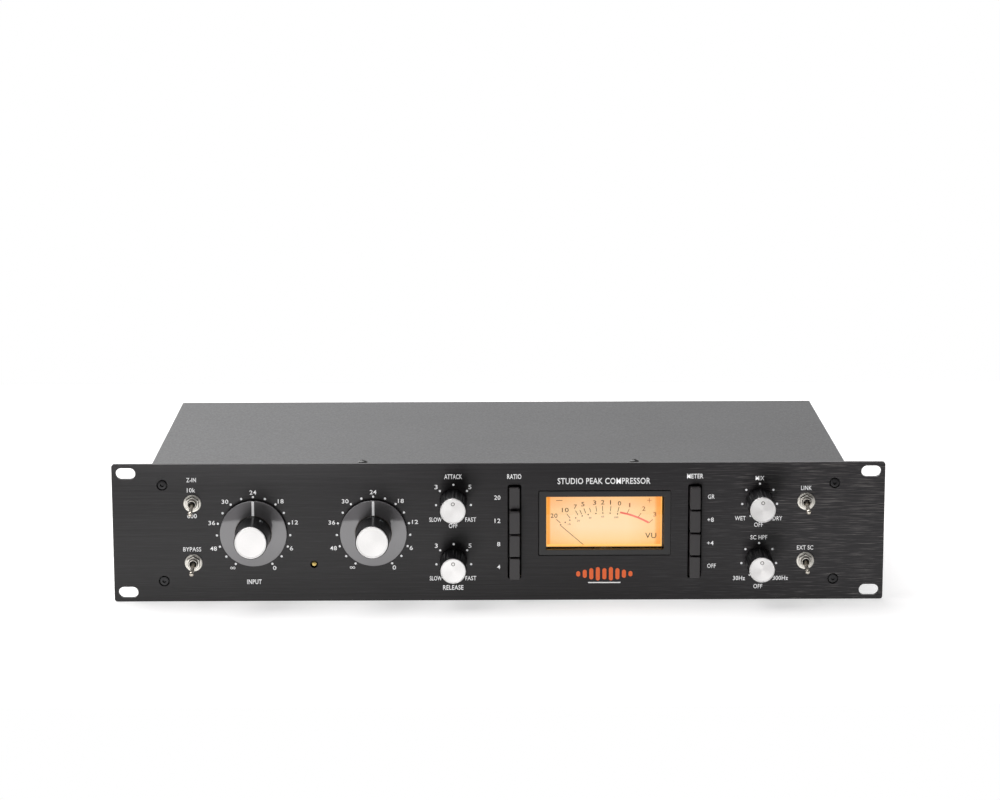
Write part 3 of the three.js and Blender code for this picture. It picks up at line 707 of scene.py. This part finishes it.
def cover_screw(node):
    """A domed screw with a cross slot, upright in the top cover."""
    low, high = cad_box(node)
    x, y = (low.x + high.x) / 2, (low.y + high.y) / 2
    seat = cad_box("top_cover")[1].z + 0.05
    head = lathe(eased([
        (0, 6), (1.5, 6), (1.5, 0), (2.9, 0, 0.1), (2.9, -1.0, 0.8), (1.5, -1.8, 1.0), (0, -1.85),
    ], 0.1), 36)
    down = Matrix.Rotation(-math.pi / 2, 4, "X")
    screw = piece(node + "_head", moved(head, x, y, seat, down), COVER_SCREW, "case", [node])
    for turn in (20, 110):
        arm = box((-1.6, -0.3, -0.9), (1.6, 0.3, 1))
        carve(screw, moved(arm, x, y, seat + 1.85, Matrix.Rotation(math.radians(turn), 4, "Z")))


# ---- knobs -------------------------------------------------------------------------------------------------


# Turned shapes here and below are (radius, y) points, some with a rounding of their own as a third value.
SKIRT = [(8.6, -1), (20.9, -1), (20.9, -3), (8.6, -3), (8.6, -1.4)]
LARGE_GRIP = [
    (0, -2.9), (11.25, -2.9), (11.25, -4.3, 0.35), (10.95, -4.7, 0.1), (10.4, -25.9, 0.5), (9.95, -26.2, 0.1),
    (9.95, -25.3), (0, -25.3),
]
BEAD = [(11.0, -3.4), (11.6, -3.4), (11.6, -2.9), (11.0, -2.9), (11.0, -3.2)]
LARGE_CAP = [
    (0, -25.4), (9.9, -25.4), (9.9, -26.8, 0.45), (9.2, -26.8, 0.1), (9.1, -26.7, 0.1), (0, -26.7),
]
POINTER_HALF_WIDE, POINTER_START, POINTER_END = 0.75, 10.6, 20.7
SET_SCREW_RADIUS, SET_SCREW_Y, SET_SCREW_ANGLE = 10.95, -8.2, 30

# A fluted grip's rings as (y, radius, groove depth).
SMALL_GRIP = [
    (-0.8, 8.3, 0.1), (-1.0, 8.6, 0.42), (-2.5, 8.6, 0.45), (-22.6, 8.36, 0.45), (-23.3, 8.3, 0.4),
    (-23.6, 8.05, 0.05), (-23.6, 7.85, 0), (-22.9, 7.85, 0),
]
FLUTES, POINTS_PER_FLUTE = 18, 10
GROOVE_SHARE = 0.62
SMALL_CAP = [
    (0, -23), (7.9, -23), (7.9, -24, 0.35), (7.4, -24.1, 0.1), (7.3, -23.95, 0.1), (0, -23.95),
]
MARK_GROOVE = [(0.75, -25), (0.75, -23.4), (1.2, -23.4), (1.2, -25)]
MARK_SHADE_FILL = [(0.8, -23.85), (0.8, -23.4), (1.15, -23.4), (1.15, -23.85)]
MARK_OFF_AXIS = 4.4


def large_knob(name):
    """A level knob: a skirt with its pointer line, a smooth grip with a bead round its foot, and a cap."""
    x, z = at = axis_of(name + "_knob_cap")
    body = name + "_control"
    skirt = lathe(eased(SKIRT, 0.35), 128, at, closed=True)
    piece(name + "_skirt", skirt, FINISH["polished_skirt"], body, [name + "_knob_skirt"])
    line = box((x - POINTER_HALF_WIDE, -3.05, z + POINTER_START),
               (x + POINTER_HALF_WIDE, -2.9, z + POINTER_END), 0.03, 1)
    piece(name + "_pointer_line", line, INK_WHITE, body)
    grip = lathe(eased(LARGE_GRIP, 0.15), 128, at)
    piece(name + "_grip", grip, FINISH["black_plastic"], body, [name + "_knob_grip"])
    # The bead takes darker nickel, painted shade that dims most of its ring.
    bead = lathe(eased(BEAD, 0.12), 96, at, closed=True)
    piece(name + "_bead", bead, NICKEL_IN_PAINTED_SHADE, body)
    cap = lathe(eased(LARGE_CAP, 0.15), 128, at)
    piece(name + "_cap", cap, FINISH["spun_aluminium"], body, [name + "_knob_cap"])
    set_screw(name + "_set_screw", x, z, body)


def set_screw(name, x, z, body):
    """A socket set screw in the side of a level knob's grip, clockwise from its top."""
    plug = lathe(eased([(0, 2), (1.35, 2), (1.35, 0), (0, 0)], 0.25), 24)
    angle = math.radians(SET_SCREW_ANGLE)
    outwards = Matrix.Rotation(angle, 4, "Y") @ Matrix.Rotation(-math.pi / 2, 4, "X")
    out = SET_SCREW_RADIUS + 0.02
    spot = (x + out * math.sin(angle), SET_SCREW_Y, z + out * math.cos(angle))
    screw = piece(name, moved(plug, *spot, outwards), FINISH["zinc"], body)
    socket = plate([hexagon(1.3)], -1, 1.2, 0.01, 0)
    carve(screw, moved(socket, *spot, outwards))


def fluted_grip(at):
    """The grip's rings, with a round groove per flute; the first and last are closed."""
    bm = bmesh.new()
    rings = []
    for y, radius, deep in SMALL_GRIP:
        ring = []
        for i in range(FLUTES * POINTS_PER_FLUTE):
            share = (i % POINTS_PER_FLUTE) / POINTS_PER_FLUTE
            groove = max(0.0, math.cos(math.pi * (share - 0.5) / GROOVE_SHARE)) ** 0.8
            r = radius - deep * groove
            a = 2 * math.pi * i / (FLUTES * POINTS_PER_FLUTE)
            ring.append(bm.verts.new((at[0] + r * math.sin(a), y, at[1] + r * math.cos(a))))
        rings.append(ring)
    for one, two in zip(rings, rings[1:]):
        skin(bm, one, two)
    bm.faces.new(rings[0])
    bm.faces.new(rings[-1])
    bmesh.ops.recalc_face_normals(bm, faces=bm.faces)
    return bm


def small_knob(name):
    """A fluted grip and a cap with a small filled ring near its edge, which marks where it points; the ring's
    fill is darker nickel as painted shade.
    """
    x, z = at = axis_of(name + "_knob_cap")
    body = name + "_control"
    piece(name + "_grip", fluted_grip(at), FINISH["black_plastic"], body, [name + "_knob_grip"])
    disc = lathe(eased(SMALL_CAP, 0.15), 96, at)
    cap = piece(name + "_cap", disc, FINISH["spun_aluminium"], body, [name + "_knob_cap"])
    mark = (x, z + MARK_OFF_AXIS)
    carve(cap, lathe(MARK_GROOVE, 32, mark, closed=True))
    # Painted shade: a darker nickel fill in the mark's groove.
    fill = lathe(MARK_SHADE_FILL, 32, mark, closed=True)
    piece(name + "_cap_mark_painted_shade", fill, NICKEL_IN_PAINTED_SHADE, body)


# ---- switches and buttons ----------------------------------------------------------------------------------


WASHER = [(3.1, -0.05), (5.5, -0.05), (5.5, -0.6, 0.25), (4.9, -0.8, 0.1), (3.1, -0.8)]
NUT_FLATS, NUT_BORE = 7.8, 2.9
BUSH = [(2.2, 6), (2.2, -4.4), (2.35, -4.75), (2.65, -4.75), (2.75, -4.6), (2.75, 6)]
THREAD_BORE, THREAD_RADIUS, THREAD_DEEP = 2.7, 2.98, 0.16
THREAD_FRONT, THREAD_STEP, THREAD_POINTS = -4.5, 0.25, 18
SWITCH_HALF_WIDE, SWITCH_HALF_TALL = 4, 6.5
TAG_STEP, TAG_LONG = 4.5, 4
BAT = [
    (0, -1.5), (1.1, -1.5), (1.15, -5), (1.2, -11.6), (1.3, -12.4, 0.5), (1.6, -13.4, 0.8),
    (1.55, -14.6, 0.9), (0.9, -15.45, 0.6), (0, -15.5),
]
BALL = [(0, 4.4), (0.8, 4.4), (1.2, 1.4), (1.75, 0.6, 0.7), (1.75, -0.6, 0.7), (1.1, -1.6), (0, -1.6)]
BAT_LEAN, BALL_Y = 14.5, -1.0

KEY_WIDE, KEY_TALL, KEY_LONG = 6.5, 13.6, 15
STEM_HALF = 1.5


def switch_thread(x, z):
    """The flats under the nut and the bush's thread, in darker nickel that paints the shade round the nut's
    sides and in the thread.
    """
    flats = plate([hexagon(NUT_FLATS + 0.2, x, z), circle(NUT_BORE, x, z)], -2.5, -0.78, 0.05, 1)
    crests = []
    for i in range(THREAD_POINTS):
        crests.append((THREAD_RADIUS - THREAD_DEEP * (i % 2), THREAD_FRONT + THREAD_STEP * i))
    profile = [(THREAD_BORE, THREAD_FRONT)] + crests + [(THREAD_RADIUS, 6), (THREAD_BORE, 6)]
    return merged(flats, lathe(profile, 48, (x, z), closed=True))


def switch_body(x, z, rear):
    """Washer, nut, bush, the housing behind the panel and its three tags."""
    washer = lathe(eased(WASHER, 0.1), 64, (x, z), closed=True)
    nut = plate([hexagon(NUT_FLATS, x, z), circle(NUT_BORE, x, z)], -2.75, -2.2, 0.2, 3)
    bush = lathe(BUSH, 48, (x, z), closed=True)
    housing = box((x - SWITCH_HALF_WIDE, 1, z - SWITCH_HALF_TALL),
                  (x + SWITCH_HALF_WIDE, rear - TAG_LONG, z + SWITCH_HALF_TALL), 0.4)
    tags = []
    for tag_z in (z - TAG_STEP, z, z + TAG_STEP):
        tags.append(box((x - 1, rear - TAG_LONG - 0.2, tag_z - 0.4), (x + 1, rear, tag_z + 0.4)))
    return merged(washer, nut, bush, housing, *tags)


def toggle(name):
    """A toggle switch, whose bat lever turns on the ball in its bush."""
    x, z = axis_of(name + "_switch")
    rear = cad_box(name + "_switch")[1].y
    lever = name + "_toggle"
    lean = Matrix.Rotation(math.radians(BAT_LEAN), 4, "X")
    # Painted shade: the darker nickel of the flats and the thread stands for shade round the nut and between
    # the thread's crests.
    piece(name + "_switch_thread", switch_thread(x, z), NICKEL_IN_PAINTED_SHADE, "case")
    piece(name + "_switch_body", switch_body(x, z, rear), FINISH["nickel"], "case", [name + "_switch"])
    bat = moved(lathe(eased(BAT, 0.3), 40), x, BALL_Y, z, lean)
    piece(name + "_bat", bat, POLISHED_NICKEL, lever, [name + "_lever"])
    # Painted shade: the ball takes dark black steel, for the shade inside the bush.
    ball = moved(lathe(eased(BALL, 0.3), 32), x, BALL_Y, z, lean)
    piece(name + "_pivot", ball, FINISH["black_steel"], lever)


def push_button(node):
    """A key and the stem that works its switch."""
    low, high = cad_box(node)
    x, z = (low.x + high.x) / 2, (low.z + high.z) / 2
    rear = low.y + KEY_LONG
    key = plate([rounded_rect(KEY_WIDE, KEY_TALL, 0.7, x, z)], low.y, rear, 0.35, 3)
    stem = box((x - STEM_HALF, rear - 0.4, z - STEM_HALF), (x + STEM_HALF, high.y, z + STEM_HALF), 0.2)
    piece(node + "_cap", merged(key, stem), FINISH["key_plastic"], node + "_key", [node])


# ---- meter -------------------------------------------------------------------------------------------------

METER_X, PIVOT_Z = 66.45, -21.7
NEEDLE_Y, DIAL_Y = 7.6, 8.6
BEZEL_WIDE, BEZEL_TALL, BEZEL_Y = 82.5, 41.2, 0.6
# The left, right, lower and upper edge of the lit card and of the bezel's opening.
WINDOW = (30.3, 101.9, -10.2, 21.8)
OPENING = (29.7, 103.4, -11.7, 22.2)
METER_GLOW = (
    TO_ROW @ Vector((WINDOW[0], 1.6, WINDOW[2])),
    TO_ROW @ Vector((WINDOW[1], DIAL_Y, WINDOW[3])),
)
NEEDLE_LONG, NEEDLE_TAIL, NEEDLE_LEAN = 36.4, -6.6, -49
SCALE_TOP, SCALE_RADIUS = 11.2, 55.0
# Each mark's text, how far right of the middle its tick starts, the text's width and its nudge right and up.
MARKS = [
    ("20", -27.7, 4.3, 0.2, 0.8), ("10", -21.6, 4.2, 0.4, 0.7), ("7", -16.6, 1.9, 1, 0.5),
    ("5", -11.8, 2, 0.2, 0.5), ("3", -4.9, 2, -0.5, 0.1), ("2", -1.1, 2.2, 0.1, 0),
    ("1", 3.7, 0.6, -0.6, 0.1), ("0", 8.3, 2.1, -0.3, 0.1),
]
HOT_MARKS = [("1", 14.1, 0.7, -0.6, 0.5), ("2", 21, 2.1, 0.3, 1.1), ("3", 28, 2.1, -0.6, 1.7)]
HALF_MARKS = [-14.3, -8.6]
PER_CENT_DOTS = [-28.4, -25.5, -22.5, -18.7, -14.5, -10.6, -5.6, -1.1, 3.7, 8.5]
PER_CENT = [("10", -24.5), ("20", -18.2), ("40", -10.1), ("60", -1.2), ("100", 8.3)]


def stroke(points, width, y):
    """A thin printed line along (x, z) points on the plane y."""
    left, right = [], []
    for i, (x, z) in enumerate(points):
        before, after = points[max(i - 1, 0)], points[min(i + 1, len(points) - 1)]
        along = (Vector(after) - Vector(before)).normalized()
        side = Vector((-along.y, along.x)) * width / 2
        left.append((x + side.x, z + side.y))
        right.append((x - side.x, z - side.y))
    bm = bmesh.new()
    outline = left + right[::-1]
    front = [bm.verts.new((x, y - 0.03, z)) for x, z in outline]
    rear = [bm.verts.new((x, y + 0.03, z)) for x, z in outline]
    count = len(points)
    for ring in (front, rear):
        for i in range(count - 1):
            bm.faces.new([ring[i], ring[i + 1], ring[2 * count - 2 - i], ring[2 * count - 1 - i]])
    skin(bm, front, rear)
    bmesh.ops.recalc_face_normals(bm, faces=bm.faces)
    return bm


def foot(dx):
    """The height of the scale's arc at dx from its middle."""
    return SCALE_TOP - SCALE_RADIUS + math.sqrt(SCALE_RADIUS ** 2 - dx ** 2)


def out_from(dx, along):
    """The point along further from the pivot than the scale's arc at dx."""
    out = Vector((dx, foot(dx) - PIVOT_Z)).normalized() * along
    return METER_X + dx + out.x, foot(dx) + out.y


def tick(dx, long, y):
    """A line from the scale's arc at dx away from the pivot."""
    return stroke([out_from(dx, 0), out_from(dx, long)], 0.34, y)


def meter_print():
    """The scale: brown up to its zero, rust and a red band above, with a minus and a plus in the corners."""
    y = DIAL_Y - 0.05
    brown = [tick(dx, 2.9, y) for dx in HALF_MARKS]
    rust = []
    for marks, prints in ((MARKS, brown), (HOT_MARKS, rust)):
        for text, dx, wide, right, up in marks:
            x, z = out_from(dx, 5.7)
            prints += [tick(dx, 3.4, y)] + words([(text, x + right, z + up, wide)], 2.7, 0, y)
    brown += [dot(*out_from(dx, -1.2), 0.42, y) for dx in PER_CENT_DOTS]
    for text, dx in PER_CENT:
        x, z = out_from(dx, -3.5)
        brown += words([(text, x, z, 0.85 * len(text))], 1.1, 0, y)
    brown += words([("VU", METER_X + 29.2, -4.6, 7)], 3.4, 0, y)
    brown.append(stroke([(METER_X - 30.4, 18.2), (METER_X - 26.4, 18.2)], 0.32, y))
    x, z = METER_X + 28.2, 18.1
    rust.append(stroke([(x - 1.5, z), (x + 1.5, z)], 0.3, y))
    rust.append(stroke([(x, z - 1.5), (x, z + 1.5)], 0.3, y))
    piece("meter_print_brown", merged(*brown), INK_BROWN, "case")
    piece("meter_print_rust", merged(*rust), INK_RUST, "case")
    overload = [(METER_X + dx, foot(dx)) for dx in (9.8 + 0.95 * i for i in range(20))]
    piece("meter_print_red", stroke(overload, 1.15, y), INK_RED, "case")


def meter():
    """The level meter: case and bezel, a lit card in a translucent frame, the window and the needle."""
    low, high = cad_box("meter_case")
    case = (low.x, high.x, low.z, high.z)
    front = rounded_rect(BEZEL_WIDE, BEZEL_TALL, 0.9, METER_X - 0.05, 5.3)
    bezel = plate([front, pane(*OPENING, 0.5)], BEZEL_Y, 3.5, 0.18, 3)
    flange = plate([pane(*case, 1.5), pane(*OPENING, 0.5, grow=0.6)], 3.3, 4.6, 0.1)
    shell = plate([pane(*case, 1.5), pane(*case, 0.8, grow=-1.5)], 3.4, high.y - 1, 0.2)
    back = plate([pane(*case, 1.5)], high.y - 1.5, high.y, 0.3)
    piece("meter_bezel", merged(bezel, shell, flange, back), FINISH["moulding"], "case", ["meter_case"])
    light = plate([pane(*WINDOW, 0.4, grow=0.5), pane(*WINDOW, 0.3)], 4.7, DIAL_Y, 0.05, 1)
    piece("meter_light_frame", light, LIT_FRAME, "case")
    card = plate([pane(*WINDOW, 0.4, grow=0.4)], DIAL_Y, DIAL_Y + 0.8, 0.05, 1)
    piece("meter_card", card, LIT_CARD, "case", ["meter_scale"])
    glass = plate([pane(*OPENING, 0.4, grow=0.5)], 3.6, 4.5, 0.05, 1)
    piece("meter_glass", glass, FINISH["acrylic"], "case", ["meter_window"])
    meter_print()
    needle()


def needle():
    """The pointer with its counterweight and hub, leaning to its left stop."""
    rear = cad_box("meter_pointer")[1].y
    y = NEEDLE_Y
    blade = box((-0.17, y - 0.1, 0), (0.17, y + 0.1, NEEDLE_LONG), 0.03, 1)
    arm = box((-0.5, y - 0.15, NEEDLE_TAIL + 0.4), (0.5, y + 0.15, 1), 0.1, 1)
    weight = box((-1, y - 0.3, NEEDLE_TAIL), (1, y + 0.3, NEEDLE_TAIL + 2.4), 0.2, 1)
    hub = lathe(eased([
        (0, rear), (0.6, rear), (0.6, y + 0.5), (2.1, y + 0.5), (2.1, y - 0.5), (0, y - 0.5),
    ], 0.1), 32)
    lean = Matrix.Rotation(math.radians(NEEDLE_LEAN), 4, "Y")
    pointer = moved(merged(blade, arm, weight, hub), METER_X, 0, PIVOT_Z, lean)
    piece("meter_needle", pointer, FINISH["pointer"], "needle", ["meter_pointer"])


def trimmer():
    """The slotted trim screw in its hole."""
    x, z = at = axis_of("trim_screw")
    low, high = cad_box("trim_screw")
    face = low.y
    screw = lathe(eased([(0, high.y), (1.5, high.y), (1.5, face), (0, face - 0.15)], 0.2), 32, at)
    trim = piece("trim_screw_head", screw, FINISH["brass"], "trimmer", ["trim_screw"])
    slot = box((x - 2, face - 1, z - 0.25), (x + 2, face + 0.6, z + 0.25))
    carve(trim, slot)


# ---- finishes ----------------------------------------------------------------------------------------------

SLOTS = {row["node"]: row["material_slot"] for row in frame["record"]["subparts"]}
# A grained finish's numbers are roughness, metallic, grains per metre, tint, wear and relief in millimetres.
FINISH = {
    "black_anodised": brushed_panel(),
    "powder_coat": powder_coat(),
    "black_steel": grained("black_steel", linear(46, 45, 47), 0.34, 0.3, 1500),
    "black_plastic": grained("black_plastic", linear(16, 16, 18), 0.3, 0, 1800, 0.2, 0.05, 0.002),
    "moulding": grained("moulding", linear(44, 43, 43), 0.42, 0, 2200, 0.12, 0.05, 0.006),
    "key_plastic": grained("key_plastic", linear(71, 68, 69), 0.5, 0, 2600, 0.08, 0.06, 0.01),
    "polished_skirt": grained("polished_skirt", linear(157, 154, 157), 0.04, 0, 25, 0.05, 0.012, 0.0,
                              IOR=2.1),
    "acrylic": clear_glass(),
    "spun_aluminium": spun("spun_aluminium", linear(252, 250, 249), 0.5),
    "nickel": grained("nickel", linear(252, 248, 240), 0.55, 0.8, 3000, 0.01, 0.02, 0.0001),
    "zinc": grained("zinc", linear(200, 204, 208), 0.34, 1, 900, 0.1, 0.08, 0.01),
    "brass": grained("brass", linear(236, 208, 130), 0.25, 1, 1500, 0.1, 0.06, 0.006),
    "dial": grained("card", linear(240, 224, 190), 0.8),
    "pointer": grained("pointer", linear(92, 62, 44), 0.5, 0.1, 1200),
    "board": grained("board", linear(26, 72, 48), 0.45, 0, 500, 0.15, 0.06, 0.01),
    "copper": grained("copper", linear(190, 120, 60), 0.4, 0.2, (300, 300, 1500), 0.2, 0.08, 0.03),
    "lamination": grained("lamination", linear(110, 106, 104), 0.45, 0.7, (60, 60, 2400), 0.2, 0.08, 0.03),
}
# Inks and finishes that only some pieces of a slot have. The inks glow a little, to read as bright as print.
INK_WHITE = grained("ink_white", linear(236, 235, 236), 0.55, 0, 3000, 0.03, 0.04, 0.003,
                    Emission_Color=(1, 1, 1, 1), Emission_Strength=0.4)
INK_ORANGE = grained("ink_orange", linear(232, 104, 46), 0.5, 0, 3000, 0.04, 0.04, 0.003,
                     Emission_Color=linear(236, 100, 46), Emission_Strength=0.4)
INK_BROWN = grained("ink_brown", linear(70, 42, 24), 0.7, 0, 2500, 0.1, 0.05, 0.001)
INK_RUST = grained("ink_rust", linear(160, 96, 60), 0.7, 0, 2500, 0.1, 0.05, 0.001,
                   Emission_Color=linear(150, 90, 56), Emission_Strength=0.5)
INK_RED = grained("ink_red", linear(190, 80, 66), 0.7, 0, 2500, 0.1, 0.05, 0.001,
                  Emission_Color=linear(234, 118, 104), Emission_Strength=0.9)
POLISHED_NICKEL = grained("polished_nickel", linear(230, 222, 210), 0.24, 0.8, 3000, 0.02, 0.02, 0.0001)
# Darker nickel as painted shade, for the nuts' sides, the threads, the beads and the cap marks.
NICKEL_IN_PAINTED_SHADE = grained("nickel_in_painted_shade", linear(104, 98, 92), 0.4, 0.6, 3000, 0.05, 0.04, 0.0001)
COVER_SCREW = grained("cover_screw", linear(12, 12, 13), 0.16, 0.2, 1500)
LIT_CARD = lit_card()
LIT_FRAME = lit_frame()


def dress_cad_nodes():
    """The CAD nodes that stay in view, and those inside the case, take the finish of their slot."""
    for node, obj in frame["nodes"].items():
        obj.data.materials.clear()
        obj.data.materials.append(FINISH[SLOTS[node]])


# ---- stage -------------------------------------------------------------------------------------------------

# The pale sheet's edges and its glow to the camera, in metres and as emission strength.
SHEET_FRONT, SHEET_REAR, SHEET_HALF_WIDE = 0.2235, 0.62, 1.6
SHEET_GLOW = 0.62
# How bright the room is in front of the unit and behind it.
ROOM_FRONT, ROOM_REAR = 0.05, 0.75
# Each lamp's place and target in metres, its width and height and its power.
OVERHEAD = ((-0.6, 0.45, 1.6), (0, 0, 0), 2.0, 1.6, 50)
BACK_LEFT = ((-1.6, 1.8, 0.9), (0, 0, 0.05), 1.6, 1.2, 20)
BOUNCE_WAY, BOUNCE_FAR = (-0.22, -0.84, -0.49), 2.4
# The camera fitted to the photo: its place in the panel's millimetres and its turns in degrees.
CAMERA_SPOT = (-13.0, -1764.3, 431.0)
CAMERA_YAW, CAMERA_PITCH, CAMERA_ROLL = 0.451, 11.12, -0.11
CAMERA_LENS, CAMERA_SENSOR = 104.36, 36


def paper():
    """White to the camera with faint shadows, bright in reflections but for its part next to the unit, where
    painted shade dims it.
    """
    m = Nodes("paper")
    path = m.add("ShaderNodeLightPath").outputs
    seen = path["Is Camera Ray"]
    # Painted shade: in reflections the sheet glows half as bright next to the unit.
    away = m.spread(m.place()["Y"], 1.0, 0.5, start=PANEL_LOW.y - 0.16, end=PANEL_LOW.y - 0.03)
    mirrored = m.math("MULTIPLY", path["Is Glossy Ray"], away)
    m.set(
        Base_Color=m.ramp(seen, [(0, (0.15, 0.15, 0.15, 1)), (1, (0.5, 0.49, 0.49, 1))]),
        Roughness=m.spread(m.noise(40), 0.85, 0.95),
        Emission_Color=(1, 1, 1, 1),
        Emission_Strength=m.math("MULTIPLY_ADD", seen, SHEET_GLOW, mirrored),
        Specular_IOR_Level=0.0,
    )
    return m.material


def floor():
    """A pale sheet that ends a little in front of the unit, with the dark of the room before it."""
    front, side = PANEL_LOW.y - SHEET_FRONT, SHEET_HALF_WIDE
    corners = [(-side, front, 0), (side, front, 0), (side, SHEET_REAR, 0), (-side, SHEET_REAR, 0)]
    mesh = bpy.data.meshes.new("floor")
    mesh.from_pydata(corners, [], [(0, 1, 2, 3)])
    mesh.materials.append(paper())
    obj = bpy.data.objects.new("floor", mesh)
    obj.location.z = CAD_BOUNDS[0].z
    bpy.context.scene.collection.objects.link(obj)


def softbox(name, location, target, wide, tall, power):
    """A rectangular lamp aimed at target, unseen by the camera."""
    light = bpy.data.lights.new(name, "AREA")
    light.shape = "RECTANGLE"
    light.size = wide
    light.size_y = tall
    light.energy = power
    obj = bpy.data.objects.new(name, light)
    obj.location = location
    obj.rotation_euler = (Vector(target) - Vector(location)).to_track_quat("-Z", "Y").to_euler()
    obj.visible_camera = False
    bpy.context.scene.collection.objects.link(obj)
    return obj


def bounce():
    """The light the sheet throws up at the front. Its lamp is under the sheet, which doesn't block it."""
    blockers = bpy.data.collections.new("blockers")
    for obj in bpy.context.scene.collection.objects:
        if obj.type == "MESH" and obj.name != "floor":
            blockers.objects.link(obj)
    middle = Vector((-0.06, PANEL_LOW.y, 0.04))
    lamp = softbox("bounce", middle + Vector(BOUNCE_WAY) * BOUNCE_FAR, middle, 1.0, 1.0, 23)
    lamp.light_linking.blocker_collection = blockers


def room():
    """White to the camera; for everything else bright behind the unit and dark in front of it."""
    world = bpy.data.worlds.new("studio")
    bpy.context.scene.world = world
    world.use_nodes = True
    tree = world.node_tree
    background = tree.nodes["Background"]
    background.inputs["Color"].default_value = (1, 1, 1, 1)
    way = tree.nodes.new("ShaderNodeSeparateXYZ")
    tree.links.new(tree.nodes.new("ShaderNodeTexCoord").outputs["Generated"], way.inputs["Vector"])
    light = tree.nodes.new("ShaderNodeMapRange")
    light.inputs["From Min"].default_value = -0.1
    light.inputs["From Max"].default_value = 0.5
    light.inputs["To Min"].default_value = ROOM_FRONT
    light.inputs["To Max"].default_value = ROOM_REAR
    tree.links.new(way.outputs["Y"], light.inputs["Value"])
    level = tree.nodes.new("ShaderNodeMix")
    tree.links.new(tree.nodes.new("ShaderNodeLightPath").outputs["Is Camera Ray"], level.inputs[0])
    tree.links.new(light.outputs["Result"], level.inputs[2])
    level.inputs[3].default_value = 1.0
    tree.links.new(level.outputs[0], background.inputs["Strength"])


def camera():
    """The photo's camera."""
    data = bpy.data.cameras.new("camera")
    data.sensor_width = CAMERA_SENSOR
    data.lens = CAMERA_LENS
    data.clip_start = 0.05
    data.clip_end = 50
    obj = bpy.data.objects.new("camera", data)
    yaw, pitch, roll = (math.radians(a) for a in (CAMERA_YAW, CAMERA_PITCH, CAMERA_ROLL))
    forward = Vector((math.sin(yaw) * math.cos(pitch), math.cos(yaw) * math.cos(pitch), -math.sin(pitch)))
    level = forward.to_track_quat("-Z", "Y")
    obj.location = TO_ROW @ Vector(CAMERA_SPOT)
    obj.rotation_mode = "QUATERNION"
    obj.rotation_quaternion = level @ Matrix.Rotation(roll, 4, "Z").to_quaternion()
    bpy.context.scene.collection.objects.link(obj)
    bpy.context.scene.camera = obj


# ---- the whole object --------------------------------------------------------------------------------------

random.seed(4)
dress_cad_nodes()
front_panel()
panel_legends()
level_bars()
for screw_node in PANEL_SCREWS:
    panel_screw(screw_node)
case_shell()
for screw_node in ("cover_screw_left", "cover_screw_right"):
    cover_screw(screw_node)
for knob in LARGE_KNOBS:
    large_knob(knob)
for knob in SMALL_KNOBS:
    small_knob(knob)
for switch in SWITCHES:
    toggle(switch)
for button_node in [n for n in frame["nodes"] if "_button_" in n]:
    push_button(button_node)
meter()
trimmer()
floor()
room()
softbox("overhead", *OVERHEAD)
softbox("back_left", *BACK_LEFT)
bounce()
camera()
bpy.context.scene.view_settings.view_transform = "Standard"
